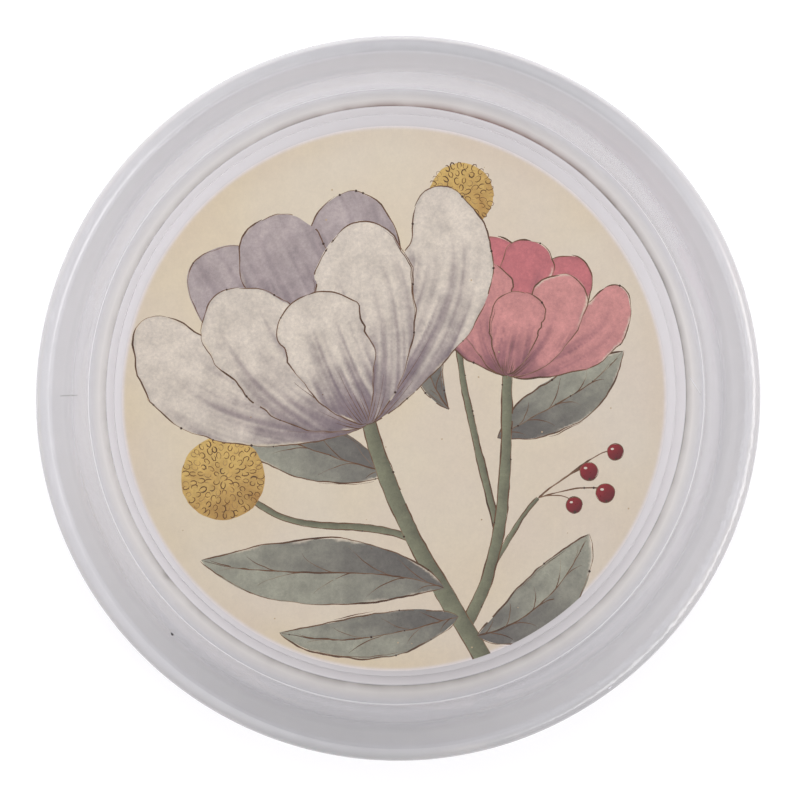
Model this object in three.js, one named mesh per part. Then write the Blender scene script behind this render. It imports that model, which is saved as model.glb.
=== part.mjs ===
// Round coaster dish of thick clear pressed glass, with a printed paper disc and
// its plain backing sheet glued into the recess under the floor.
//
// Millimetres, +Z up. The origin is the centre of the foot ring's flat underside,
// and +Y points to the top edge of the printed design.

import * as THREE from "three";

// The glass: overall size and lip. The outside flares up from the foot like a bowl
// and ends in an upright band under the rounded lip.
const RIM_RADIUS = 73;
const HEIGHT = 19;
const LIP_WIDTH = 2.5;
const LIP_OUTER_ROUND = 1.3;
const LIP_INNER_ROUND = 1.1;
const RIM_BAND_HEIGHT = 6.5;
const RIM_BAND_ROUND = 8.5;

// The foot ring that the dish stands on, and the recess inside it.
const FOOT_OUTER_RADIUS = 61.8;
const FOOT_OUTER_ROUND = 0.8;
const RECESS_RADIUS = 58;
const RECESS_DEPTH = 1.3;
const RECESS_DRAFT = 0.3;
const RECESS_MOUTH_ROUND = 0.4;
const RECESS_CORNER_ROUND = 0.3;

// The inside: flat floor, short low cove, crease, then the steep wall with a slight bend.
const FLOOR_HEIGHT = 5.7;
const FLOOR_RADIUS = 59.5;
const FLOOR_CREASE_ROUND = 0.3;
const COVE_TOP_RADIUS = 63;
const COVE_TOP_HEIGHT = 7.6;
const COVE_CREASE_ROUND = 0.5;
const WALL_BEND_RADIUS = 65.4;
const WALL_BEND_HEIGHT = 12.1;
const WALL_BEND_ROUND = 24;

// The papers, face to face with the glass and with each other, and the small
// amount by which the pair was laid off centre in the recess.
const PRINT_RADIUS = 56.2;
const PRINT_THICKNESS = 0.3;
const BACKING_RADIUS = 56.6;
const BACKING_THICKNESS = 0.5;
const PAPER_OFFSET_X = -0.2;
const PAPER_OFFSET_Y = -0.6;

// Facets: sides round the axis, and how far a chord may stand off a rounded corner.
const DISH_SIDES = 96;
const CHORD_ERROR = 0.04;

const CLEAR_GLASS = { color: 0xdcdde4, roughness: 0.05, metalness: 0, transparent: true, opacity: 0.35 };
const CREAM_PAPER = { color: 0xd4c9b8, roughness: 0.75, metalness: 0 };
const SEALED_BACKING = { color: 0xcfc6b4, roughness: 0.6, metalness: 0 };

/** Points along the arc that rounds one corner, from the side of `before` to the side of `after`. */
function roundCorner(before, corner, after) {
  const at = new THREE.Vector2(corner.r, corner.z);
  const toBefore = new THREE.Vector2(before.r, before.z).sub(at);
  const toAfter = new THREE.Vector2(after.r, after.z).sub(at);
  const halfAngle = Math.acos(toBefore.dot(toAfter) / (toBefore.length() * toAfter.length())) / 2;
  const tangentLength = corner.round / Math.tan(halfAngle);
  const start = toBefore.clone().setLength(tangentLength).add(at);
  const end = toAfter.clone().setLength(tangentLength).add(at);
  const inward = toBefore.clone().normalize().add(toAfter.clone().normalize());
  const centre = inward.setLength(corner.round / Math.sin(halfAngle)).add(at);

  const startAngle = start.clone().sub(centre).angle();
  const turn = Math.PI - 2 * halfAngle;
  const direction = Math.sign(end.clone().sub(start).cross(centre.clone().sub(start)));
  const largestStep = 2 * Math.acos(1 - CHORD_ERROR / corner.round);
  const steps = Math.ceil(turn / largestStep);
  const points = [];
  for (let step = 0; step <= steps; step += 1) {
    const angle = startAngle + direction * turn * (step / steps);
    points.push(new THREE.Vector2(Math.cos(angle), Math.sin(angle)).multiplyScalar(corner.round).add(centre));
  }
  return points;
}

/** A profile from the axis and back to it, with each corner that has a `round` turned into an arc. */
function roundedProfile(corners) {
  return corners.flatMap((corner, index) => {
    if (!corner.round) {
      return [new THREE.Vector2(corner.r, corner.z)];
    }
    return roundCorner(corners[index - 1], corner, corners[index + 1]);
  });
}

/** Turns a profile of (radius, height) points about the Z axis. */
function turned(profile) {
  return new THREE.LatheGeometry(profile, DISH_SIDES).rotateX(Math.PI / 2);
}

/** The whole glass: under the floor, round the foot, up the outside, over the lip and down inside. */
function glassProfile() {
  return roundedProfile([
    { r: 0, z: RECESS_DEPTH },
    { r: RECESS_RADIUS - RECESS_DRAFT, z: RECESS_DEPTH, round: RECESS_CORNER_ROUND },
    { r: RECESS_RADIUS, z: 0, round: RECESS_MOUTH_ROUND },
    { r: FOOT_OUTER_RADIUS, z: 0, round: FOOT_OUTER_ROUND },
    { r: RIM_RADIUS, z: HEIGHT - RIM_BAND_HEIGHT, round: RIM_BAND_ROUND },
    { r: RIM_RADIUS, z: HEIGHT, round: LIP_OUTER_ROUND },
    { r: RIM_RADIUS - LIP_WIDTH, z: HEIGHT, round: LIP_INNER_ROUND },
    { r: WALL_BEND_RADIUS, z: WALL_BEND_HEIGHT, round: WALL_BEND_ROUND },
    { r: COVE_TOP_RADIUS, z: COVE_TOP_HEIGHT, round: COVE_CREASE_ROUND },
    { r: FLOOR_RADIUS, z: FLOOR_HEIGHT, round: FLOOR_CREASE_ROUND },
    { r: 0, z: FLOOR_HEIGHT },
  ]);
}

/** A flat disc of paper with its underside at z = 0. */
function discProfile(radius, thickness) {
  return [
    new THREE.Vector2(0, 0),
    new THREE.Vector2(radius, 0),
    new THREE.Vector2(radius, thickness),
    new THREE.Vector2(0, thickness),
  ];
}

/** A mesh with a name, its own material and its place in the dish. */
function piece(name, geometry, finish, position) {
  const mesh = new THREE.Mesh(geometry, new THREE.MeshStandardMaterial(finish));
  mesh.name = name;
  mesh.position.copy(position);
  return mesh;
}

/** The two papers as one group, with its origin where they meet the glass. */
function papers() {
  const group = new THREE.Group();
  const printUnderside = -PRINT_THICKNESS;
  const backingUnderside = printUnderside - BACKING_THICKNESS;
  group.add(
    piece(
      "printed_sheet",
      turned(discProfile(PRINT_RADIUS, PRINT_THICKNESS)),
      CREAM_PAPER,
      new THREE.Vector3(0, 0, printUnderside),
    ),
  );
  group.add(
    piece(
      "backing_sheet",
      turned(discProfile(BACKING_RADIUS, BACKING_THICKNESS)),
      SEALED_BACKING,
      new THREE.Vector3(0, 0, backingUnderside),
    ),
  );
  group.position.set(PAPER_OFFSET_X, PAPER_OFFSET_Y, RECESS_DEPTH);
  return group;
}

const coasterDish = new THREE.Group();
coasterDish.add(piece("glass_dish", turned(glassProfile()), CLEAR_GLASS, new THREE.Vector3()));
coasterDish.add(papers());

export default coasterDish;
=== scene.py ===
"""Round decoupage coaster dish in thick clear pressed glass.

A printed botanical disc is glued under the dish's floor, in optical contact with the
glass, and a plain sealed sheet closes its back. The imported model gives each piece's
place and outer size. Lengths are in millimetres and colours are sRGB from 0 to 255
unless a name says otherwise. Meshes are turned into metres as they are made.
"""

import logging
import math
import random
from dataclasses import dataclass
from enum import Enum
from typing import Callable, Iterable, Sequence

import bmesh
import bpy
import numpy as np
from bpy.types import Material, Mesh, Node, NodeSocket, NodeTree, Object
from mathutils import Matrix, Vector
from mathutils.geometry import delaunay_2d_cdt


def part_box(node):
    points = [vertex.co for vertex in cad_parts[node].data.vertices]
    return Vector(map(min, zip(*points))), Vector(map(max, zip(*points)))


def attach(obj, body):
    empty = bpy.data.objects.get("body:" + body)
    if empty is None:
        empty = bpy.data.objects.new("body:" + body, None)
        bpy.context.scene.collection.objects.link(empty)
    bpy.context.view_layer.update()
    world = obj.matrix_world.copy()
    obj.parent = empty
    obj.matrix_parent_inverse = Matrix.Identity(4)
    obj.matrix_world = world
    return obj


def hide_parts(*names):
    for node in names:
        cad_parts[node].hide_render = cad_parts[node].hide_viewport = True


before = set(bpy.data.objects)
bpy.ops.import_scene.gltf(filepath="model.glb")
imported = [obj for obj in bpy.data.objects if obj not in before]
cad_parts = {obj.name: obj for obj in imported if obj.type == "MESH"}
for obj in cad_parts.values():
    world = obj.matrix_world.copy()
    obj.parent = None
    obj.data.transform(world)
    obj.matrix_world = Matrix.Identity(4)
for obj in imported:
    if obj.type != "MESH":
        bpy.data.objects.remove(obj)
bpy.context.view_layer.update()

LOG = logging.getLogger("coaster_dish")

MM = 0.001
BODY = "root"
LEAST_STEP = 0.02
RANGE_INPUTS = ("From Min", "From Max", "To Min", "To Max")

Array = np.ndarray
Pair = tuple[float, float]
Triple = tuple[float, float, float]
SRGB = tuple[int, int, int]
LinearRGBA = tuple[float, float, float, float]
Paint = Callable[[Array], Array]

WHITE: LinearRGBA = (1.0, 1.0, 1.0, 1.0)


# --- Colours ---


class Pigment(Enum):
    """The colours of the print, as they look through the glass."""

    CREAM = (213, 203, 185)
    CREAM_WARM = (214, 200, 172)
    CREAM_ROSY = (209, 194, 180)
    FOXING = (196, 172, 138)
    CUT_EDGE = (222, 217, 219)
    PETAL_PALE = (209, 199, 185)
    LILAC = (174, 162, 160)
    LILAC_DEEP = (126, 112, 117)
    ROSE = (186, 108, 112)
    ROSE_PALE = (200, 138, 134)
    ROSE_DEEP = (132, 86, 94)
    GOLD = (203, 170, 98)
    GOLD_DEEP = (166, 126, 66)
    LEAF_PALE = (152, 152, 136)
    LEAF_DEEP = (101, 98, 93)
    STEM = (124, 126, 102)
    STEM_DEEP = (88, 87, 70)
    BERRY = (138, 30, 38)
    BERRY_DEEP = (96, 20, 30)
    INK = (104, 72, 48)
    INK_DARK = (62, 40, 29)
    INK_THIN = (150, 124, 98)
    INK_GOLD = (96, 60, 24)

    @property
    def linear(self) -> Array:
        """The pigment as linear RGB."""
        return linear_rgb(self.value)


def linear_rgb(srgb: Sequence[float]) -> Array:
    """Turns an sRGB colour from 0 to 255 into linear RGB from 0 to 1."""
    share = np.asarray(srgb, float) / 255.0
    return np.where(share <= 0.04045, share / 12.92, ((share + 0.055) / 1.055) ** 2.4)


def rgba(srgb: Sequence[float]) -> LinearRGBA:
    """An sRGB colour from 0 to 255 as the linear RGBA that a colour socket takes."""
    red, green, blue = linear_rgb(srgb)
    return (float(red), float(green), float(blue), 1.0)


def smoothstep(low: float, high: float, value: Array) -> Array:
    """Goes smoothly from 0 at low to 1 at high, which may be the lower of the two."""
    share = np.clip((value - low) / (high - low), 0.0, 1.0)
    return share * share * (3.0 - 2.0 * share)


class SoftNoise:
    """Seeded, smooth two-dimensional value noise between -1 and 1."""

    SIDE = 128
    OCTAVES = 3
    OCTAVE_SHIFT = (17.0, -9.0)
    LAYERED_PEAK = 1.6

    def __init__(self, seed: int) -> None:
        """Fills the lattice from a seed."""
        self.lattice = np.random.default_rng(seed).uniform(-1.0, 1.0, (self.SIDE, self.SIDE))

    def at(self, x: Array, y: Array) -> Array:
        """The noise at each (x, y), with features about one unit apart.

        Args:
            x: Where the noise is wanted, across.
            y: Where it is wanted, upwards.

        Returns:
            One number for each place.
        """
        x, y = np.broadcast_arrays(np.asarray(x, float), np.asarray(y, float))
        column, row = np.floor(x).astype(int), np.floor(y).astype(int)
        across, up = x - column, y - row
        across = across * across * (3.0 - 2.0 * across)
        up = up * up * (3.0 - 2.0 * up)
        low = self._mix(column, row, across)
        high = self._mix(column, row + 1, across)
        return low + (high - low) * up

    def layered(self, x: Array, y: Array) -> Array:
        """Several sizes of the noise added together, the finer ones fainter.

        Args:
            x: Where the noise is wanted, across.
            y: Where it is wanted, upwards.

        Returns:
            One number for each place.
        """
        total = np.zeros(np.broadcast(x, y).shape)
        shift_x, shift_y = self.OCTAVE_SHIFT
        for octave in range(self.OCTAVES):
            scale = 2.0**octave
            total += self.at(x * scale + shift_x * octave, y * scale + shift_y * octave) / scale
        return total / self.LAYERED_PEAK

    def _mix(self, column: Array, row: Array, across: Array) -> Array:
        """The noise on one row of the lattice, part of the way to the next column.

        Args:
            column: The lattice column to the left of each place.
            row: The lattice row.
            across: How far each place is on its way to the next column.

        Returns:
            One number for each place.
        """
        side = self.SIDE
        near = self.lattice[column % side, row % side]
        far = self.lattice[(column + 1) % side, row % side]
        return near + (far - near) * across


# --- Shader graphs and finishes ---


class BlendMode(Enum):
    """The ways in which two colours are mixed."""

    MIX = "MIX"
    MULTIPLY = "MULTIPLY"


ColourSource = NodeSocket | LinearRGBA


class ShaderGraph:
    """A material's nodes, with short calls for the ones that the finishes share."""

    def __init__(self, name: str) -> None:
        """Makes an empty material.

        Args:
            name: The material's name.
        """
        self.material = bpy.data.materials.new(name)
        self.material.use_nodes = True
        self.tree = self.material.node_tree
        self.surface = self.tree.nodes["Principled BSDF"]
        self.output = self.tree.nodes["Material Output"]
        self.coordinates = self.tree.nodes.new("ShaderNodeTexCoord").outputs["Object"]

    def node(self, kind: str, **inputs: object) -> Node:
        """Adds a node and sets its unlinked inputs by name.

        Args:
            kind: The node's type.
            inputs: The values of its inputs.

        Returns:
            The new node.
        """
        made = self.tree.nodes.new(kind)
        for name, value in inputs.items():
            made.inputs[name].default_value = value
        return made

    def link(self, source: NodeSocket, target: NodeSocket) -> None:
        """Links one socket to another."""
        self.tree.links.new(source, target)

    def noise(self, cell: float, detail: float, roughness: float = 0.55) -> NodeSocket:
        """Noise from 0 to 1 with features about cell millimetres apart.

        Args:
            cell: The size of its features.
            detail: How many finer sizes are added.
            roughness: How strong the finer sizes are.

        Returns:
            The noise's socket.
        """
        made = self.node("ShaderNodeTexNoise", Scale=1.0 / (cell * MM), Detail=detail, Roughness=roughness)
        self.link(self.coordinates, made.inputs["Vector"])
        return made.outputs["Fac"]

    def stretched_noise(self, cells: Triple, detail: float) -> NodeSocket:
        """Noise whose features have a size of their own along X, Y and Z, in millimetres.

        Args:
            cells: The size of its features along each axis.
            detail: How many finer sizes are added.

        Returns:
            The noise's socket.
        """
        mapping = self.node("ShaderNodeMapping")
        mapping.inputs["Scale"].default_value = tuple(1.0 / (cell * MM) for cell in cells)
        made = self.node("ShaderNodeTexNoise", Scale=1.0, Detail=detail)
        self.link(self.coordinates, mapping.inputs["Vector"])
        self.link(mapping.outputs["Vector"], made.inputs["Vector"])
        return made.outputs["Fac"]

    def attribute(self, name: str) -> Node:
        """The mesh attribute of that name.

        Args:
            name: The attribute's name.

        Returns:
            The node that reads it.
        """
        made = self.node("ShaderNodeAttribute")
        made.attribute_name = name
        return made

    def remap(self, source: NodeSocket, old: Pair, new: Pair) -> NodeSocket:
        """A clamped linear map of a number from one range to another.

        Args:
            source: The number.
            old: The range that it comes from.
            new: The range that it goes to.

        Returns:
            The result's socket.
        """
        made = self.node("ShaderNodeMapRange")
        for name, value in zip(RANGE_INPUTS, old + new):
            made.inputs[name].default_value = value
        self.link(source, made.inputs["Value"])
        return made.outputs["Result"]

    def multiply(self, first: NodeSocket, second: NodeSocket) -> NodeSocket:
        """The product of two numbers.

        Args:
            first: One number.
            second: The other number.

        Returns:
            The product's socket.
        """
        made = self.node("ShaderNodeMath")
        made.operation = "MULTIPLY"
        self.link(first, made.inputs[0])
        self.link(second, made.inputs[1])
        return made.outputs["Value"]

    def blend(
        self,
        factor: NodeSocket | float,
        first: ColourSource,
        second: ColourSource,
        mode: BlendMode = BlendMode.MIX,
    ) -> NodeSocket:
        """Mixes two colours. Each may be a socket or a fixed linear RGBA.

        Args:
            factor: The socket or number that says how much of the second shows.
            first: The colour at factor 0.
            second: The colour at factor 1.
            mode: How the two are mixed.

        Returns:
            The mixed colour's socket.
        """
        made = self.node("ShaderNodeMix")
        made.data_type = "RGBA"
        made.blend_type = mode.value
        colours = [socket for socket in made.inputs if socket.type == "RGBA"]
        for socket, value in zip((made.inputs[0], *colours), (factor, first, second)):
            if isinstance(value, NodeSocket):
                self.link(value, socket)
            else:
                socket.default_value = value
        return next(socket for socket in made.outputs if socket.type == "RGBA")

    def bump(self, height: NodeSocket, distance: float) -> None:
        """Adds relief to the surface, distance millimetres deep, on top of any that it has.

        Args:
            height: The relief, from 0 to 1.
            distance: Its depth in millimetres.
        """
        made = self.node("ShaderNodeBump", Strength=1.0, Distance=distance * MM)
        self.link(height, made.inputs["Height"])
        normal = self.surface.inputs["Normal"]
        if normal.is_linked:
            self.link(normal.links[0].from_socket, made.inputs["Normal"])
        self.link(made.outputs["Normal"], normal)

    def set_surface(self, **values: object) -> None:
        """Sets fixed values on the surface shader, with _ in a name for each space."""
        for name, value in values.items():
            self.surface.inputs[name.replace("_", " ")].default_value = value


@dataclass(frozen=True)
class ClearGlass:
    """Thick pressed soda glass with a faint mauve tint and a hand-worn, satiny lip.

    Diffuse and shadow rays pass it as if it were a tinted film, so that light reaches the
    print and the table through it without the noise of caustics.
    """

    ior: float = 1.52
    tint: SRGB = (235, 233, 236)
    # The grey of each zone at full share, which also carries painted shade and painted light.
    grey_and_painted_shading: SRGB = (173, 172, 175)
    shade: Triple = (0.862, 0.857, 0.862)
    # The colour of the dark crease lines, partly soiling and partly painted shade.
    crease_soiling_and_shade: SRGB = (60, 54, 50)
    rust: SRGB = (96, 56, 44)
    # A warm tint: on the cove near the floor's crease a painted reflection of the cream print, and a faint
    # warm tint on the recess roof's bare ring.
    warm_tint_and_reflection: SRGB = (230, 225, 221)
    worn_roughness: float = 0.26

    def material(self) -> Material:
        """Builds the glass from its tint, its grey with painted shade and light, its warm tint with a painted
        reflection, its wear, and the dark crease lines of soiling and painted shade.

        Returns:
            The new material.
        """
        graph = ShaderGraph("clear_pressed_glass")
        graph.set_surface(IOR=self.ior)
        # The grey attribute carries painted shade, painted light and the bead's painted highlight.
        greyed = graph.attribute("grey_and_painted_shading").outputs["Fac"]
        clear = graph.blend(greyed, rgba(self.tint), rgba(self.grey_and_painted_shading))
        # Warm tint: on the cove a painted reflection of the cream print, and faint on the recess roof's bare
        # ring.
        film = graph.blend(graph.attribute("warm_tint_and_reflection").outputs["Fac"], clear, rgba(self.warm_tint_and_reflection))
        broken = graph.remap(graph.noise(cell=6.0, detail=2.0), (0.35, 0.60), (0.80, 1.0))
        # Dark crease lines: soiling, with painted shade widening them on the low side and lining the bead.
        soiling_and_shade = graph.multiply(graph.attribute("crease_soiling_and_shade").outputs["Fac"], broken)
        soiling_and_shade_colour = graph.blend(graph.attribute("rust").outputs["Fac"], rgba(self.crease_soiling_and_shade), rgba(self.rust))
        graph.link(graph.blend(soiling_and_shade, film, soiling_and_shade_colour), graph.surface.inputs["Base Color"])
        scuffed = graph.remap(graph.noise(cell=9.0, detail=1.0), (0.30, 0.62), (0.94, 1.0))
        haze = graph.multiply(graph.attribute("haze").outputs["Fac"], scuffed)
        clearness = graph.remap(haze, (0.0, 1.0), (1.0, 0.0))
        graph.link(clearness, graph.surface.inputs["Transmission Weight"])
        roughnesses = (0.5 * self.worn_roughness, self.worn_roughness)
        patches = graph.remap(graph.noise(cell=3.0, detail=3.0), (0.3, 0.7), roughnesses)
        rough = graph.multiply(graph.attribute("worn").outputs["Fac"], patches)
        graph.link(rough, graph.surface.inputs["Roughness"])
        graph.bump(graph.noise(cell=7.0, detail=1.0), distance=0.006)
        graph.bump(graph.noise(cell=0.9, detail=2.0), distance=0.0004)
        ripples = graph.multiply(graph.attribute("chatter").outputs["Fac"], graph.noise(cell=1.7, detail=3.0))
        graph.bump(ripples, distance=0.24)
        self._let_light_through(graph)
        return graph.material

    def _let_light_through(self, graph: ShaderGraph) -> None:
        """Gives shadow and diffuse rays a tinted film in place of the refracting surface.

        Args:
            graph: The glass's graph.
        """
        path = graph.node("ShaderNodeLightPath")
        film = graph.node("ShaderNodeBsdfTransparent", Color=(*self.shade, 1.0))
        chosen = graph.node("ShaderNodeMath")
        chosen.operation = "MAXIMUM"
        mixed = graph.node("ShaderNodeMixShader")
        graph.link(path.outputs["Is Shadow Ray"], chosen.inputs[0])
        graph.link(path.outputs["Is Diffuse Ray"], chosen.inputs[1])
        graph.link(chosen.outputs["Value"], mixed.inputs[0])
        graph.link(graph.surface.outputs[0], mixed.inputs[1])
        graph.link(film.outputs[0], mixed.inputs[2])
        graph.link(mixed.outputs[0], graph.output.inputs["Surface"])


@dataclass(frozen=True)
class PrintedPaper:
    """Wove paper that carries the painted colours, with granulation in the washes."""

    roughness: float = 0.78
    specular: float = 0.25
    settled_tones: tuple[LinearRGBA, LinearRGBA] = ((0.84, 0.84, 0.85, 1.0), (1.10, 1.10, 1.09, 1.0))
    pooled_tones: tuple[LinearRGBA, LinearRGBA] = ((0.90, 0.90, 0.91, 1.0), (1.07, 1.07, 1.06, 1.0))
    weave_tones: tuple[LinearRGBA, LinearRGBA] = ((0.985, 0.98, 0.972, 1.0), (1.015, 1.015, 1.012, 1.0))

    def material(self) -> Material:
        """Builds the paper from the mesh's pigment colours, its fibres and its mottling.

        Returns:
            The new material.
        """
        graph = ShaderGraph("printed_wove_paper")
        graph.set_surface(Roughness=self.roughness, Specular_IOR_Level=self.specular)
        pigment = graph.attribute("pigment")
        settled = graph.remap(graph.noise(cell=0.55, detail=5.0, roughness=0.8), (0.32, 0.66), (0.0, 1.0))
        pooled = graph.remap(graph.noise(cell=2.4, detail=4.0, roughness=0.7), (0.35, 0.65), (0.0, 1.0))
        fine = graph.blend(settled, *self.settled_tones)
        broad = graph.blend(pooled, *self.pooled_tones)
        grained = graph.blend(1.0, fine, broad, BlendMode.MULTIPLY)
        mottled = graph.blend(pigment.outputs["Alpha"], WHITE, grained)
        toned = graph.blend(1.0, pigment.outputs["Color"], mottled, BlendMode.MULTIPLY)
        laid = graph.blend(graph.stretched_noise(cells=(0.35, 1.6, 1.0), detail=3.0), *self.weave_tones)
        woven = graph.blend(1.0, toned, laid, BlendMode.MULTIPLY)
        graph.link(woven, graph.surface.inputs["Base Color"])
        graph.bump(graph.noise(cell=0.16, detail=4.0, roughness=0.7), distance=0.02)
        return graph.material


@dataclass(frozen=True)
class BackingPaper:
    """Plain stout paper under a few coats of satin varnish, a little uneven and yellowed."""

    light: SRGB = (212, 203, 184)
    dark: SRGB = (193, 180, 154)
    fleck: SRGB = (150, 128, 98)
    roughness: float = 0.55
    varnish: float = 0.6
    varnish_roughness: float = 0.28

    def material(self) -> Material:
        """Builds the paper from its fibres, flecks and brushed varnish.

        Returns:
            The new material.
        """
        graph = ShaderGraph("varnished_backing_paper")
        graph.set_surface(
            Roughness=self.roughness, Coat_Weight=self.varnish, Coat_Roughness=self.varnish_roughness
        )
        clouds = graph.remap(graph.noise(cell=16.0, detail=4.0), (0.35, 0.65), (0.0, 1.0))
        base = graph.blend(clouds, rgba(self.light), rgba(self.dark))
        flecks = graph.remap(graph.noise(cell=0.9, detail=2.0, roughness=0.4), (0.70, 0.76), (0.0, 0.6))
        graph.link(graph.blend(flecks, base, rgba(self.fleck)), graph.surface.inputs["Base Color"])
        graph.bump(graph.noise(cell=0.22, detail=4.0, roughness=0.7), distance=0.03)
        graph.bump(graph.stretched_noise(cells=(1.1, 24.0, 1.0), detail=3.0), distance=0.035)
        return graph.material


@dataclass(frozen=True)
class PlainSpeck:
    """A small opaque mark: a stone in the glass or the frosted groove of a scratch."""

    name: str
    colour: SRGB
    roughness: float
    darkening: float = 0.7

    def material(self) -> Material:
        """Builds the mark's finish with a slight change of tone over it.

        Returns:
            The new material.
        """
        graph = ShaderGraph(self.name)
        graph.set_surface(Roughness=self.roughness)
        darker = tuple(int(self.darkening * channel) for channel in self.colour)
        tone = graph.blend(graph.noise(cell=0.2, detail=2.0), rgba(self.colour), rgba(darker))
        graph.link(tone, graph.surface.inputs["Base Color"])
        return graph.material


@dataclass(frozen=True)
class PaleTabletop:
    """A plain, matt, near-white studio table."""

    light: SRGB = (254, 254, 254)
    dark: SRGB = (252, 252, 253)
    roughness: float = 0.9
    specular: float = 0.1

    def material(self) -> Material:
        """Builds the table with a very faint, wide unevenness.

        Returns:
            The new material.
        """
        graph = ShaderGraph("pale_tabletop")
        graph.set_surface(Roughness=self.roughness, Specular_IOR_Level=self.specular)
        tone = graph.blend(graph.noise(cell=60.0, detail=2.0), rgba(self.light), rgba(self.dark))
        graph.link(tone, graph.surface.inputs["Base Color"])
        return graph.material


# --- Meshes ---


def new_object(name: str, mesh: Mesh) -> Object:
    """Puts a mesh in the scene under a name.

    Args:
        name: The object's name.
        mesh: Its mesh.

    Returns:
        The new object.
    """
    made = bpy.data.objects.new(name, mesh)
    bpy.context.scene.collection.objects.link(made)
    return made


def dressed(
    made: Object, material: Material, slot: str, node: str | None = None
) -> Object:
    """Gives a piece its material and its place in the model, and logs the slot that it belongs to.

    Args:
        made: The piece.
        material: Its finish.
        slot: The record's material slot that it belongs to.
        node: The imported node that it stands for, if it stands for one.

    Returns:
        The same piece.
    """
    made.data.materials.append(material)
    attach(made, BODY)
    if node:
        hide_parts(node)
    LOG.info("%s: %d faces, slot %s", made.name, len(made.data.polygons), slot)
    return made


@dataclass(frozen=True)
class Corner:
    """A corner of a turned profile, with the radius that rounds it."""

    radius: float
    height: float
    round: float = 0.0
    facets: int = 0

    @property
    def place(self) -> Vector:
        """The corner as a point (radius, height)."""
        return Vector((self.radius, self.height))


def rounded(before: Corner, corner: Corner, after: Corner) -> list[Vector]:
    """Points along the arc that rounds one corner.

    Args:
        before: The corner before it.
        corner: The corner to round.
        after: The corner after it.

    Returns:
        The (radius, height) points of the arc.
    """
    to_before = before.place - corner.place
    to_after = after.place - corner.place
    half_angle = to_before.angle(to_after) / 2.0
    tangent = corner.round / math.tan(half_angle)
    start = corner.place + to_before.normalized() * tangent
    end = corner.place + to_after.normalized() * tangent
    inward = (to_before.normalized() + to_after.normalized()).normalized()
    centre = corner.place + inward * (corner.round / math.sin(half_angle))
    first = math.atan2(*reversed(start - centre))
    last = math.atan2(*reversed(end - centre))
    turn = (last - first + math.pi) % math.tau - math.pi
    steps = range(corner.facets + 1)
    angles = [first + turn * step / corner.facets for step in steps]
    return [centre + Vector((math.cos(angle), math.sin(angle))) * corner.round for angle in angles]


def divided(points: Sequence[Vector], longest_at: Callable[[Vector], float]) -> list[Vector]:
    """A polyline with its long stretches cut up.

    Args:
        points: The polyline.
        longest_at: Gives the longest step that is allowed near a place.

    Returns:
        The polyline's points with the new ones between them.
    """
    fine = [points[0]]
    for start, end in zip(points, points[1:]):
        whole = (end - start).length
        gone = 0.0
        while gone < whole - 1e-6:
            here = start.lerp(end, gone / whole)
            gone = min(whole, gone + longest_at(here))
            gone = whole if whole - gone < LEAST_STEP else gone
            fine.append(start.lerp(end, gone / whole))
    return fine


class HandWave:
    """A smooth seeded wave round the dish, between -1 and 1."""

    def __init__(self, rng: random.Random, lowest: int, highest: int) -> None:
        """Draws a phase for each number of swells, from the lowest to the highest."""
        self.terms = [(count, rng.uniform(0.0, math.tau)) for count in range(lowest, highest + 1)]

    def at(self, angle: Array) -> Array:
        """The wave at each angle round the dish."""
        total = sum(np.sin(count * angle + phase) for count, phase in self.terms)
        return np.clip(total / math.sqrt(len(self.terms)), -1.0, 1.0)


class Side(Enum):
    """Soft patches of the way round the dish: the middle and the spread of each, in degrees. The far, low,
    lit, right and brink patches place painted shade and painted light; the others place the lip's polish and
    ripples and the crease's brown and rusty soiling.
    """

    POLISHED_LIP = (-24.0, 46.0)
    RIPPLED_LIP = (-24.0, 52.0)
    RUSTY_CREASE = (76.0, 34.0)
    BROWN_CREASE = (62.0, 55.0)
    FAR = (78.0, 62.0)
    FAR_RING = (78.0, 48.0)
    LOW = (-88.0, 62.0)
    LOW_CREASE = (-88.0, 42.0)
    LOW_RING = (-76.0, 46.0)
    LOW_WALL = (-112.0, 42.0)
    LIT = (12.0, 42.0)
    LIT_COVE = (12.0, 30.0)
    RIGHT_WALL = (0.0, 26.0)
    RIGHT_BAND = (-10.0, 55.0)
    OUTER_BRINK = (-50.0, 85.0)

    def at(self, angle: Array) -> Array:
        """How far each angle lies in the patch: 1 in its middle, fading out to both sides.

        Args:
            angle: Angles round the dish, in radians.

        Returns:
            The share for each angle.
        """
        middle, spread = self.value
        apart = np.angle(np.exp(1j * (angle - math.radians(middle))))
        return np.exp(-((apart / math.radians(spread)) ** 2))


def ridge(place: Array, middle: float | Array, half_width: float | Array) -> Array:
    """A soft ridge: 1 in its middle, and about a third of that a half width away."""
    return np.exp(-(((place - middle) / half_width) ** 2))


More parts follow.
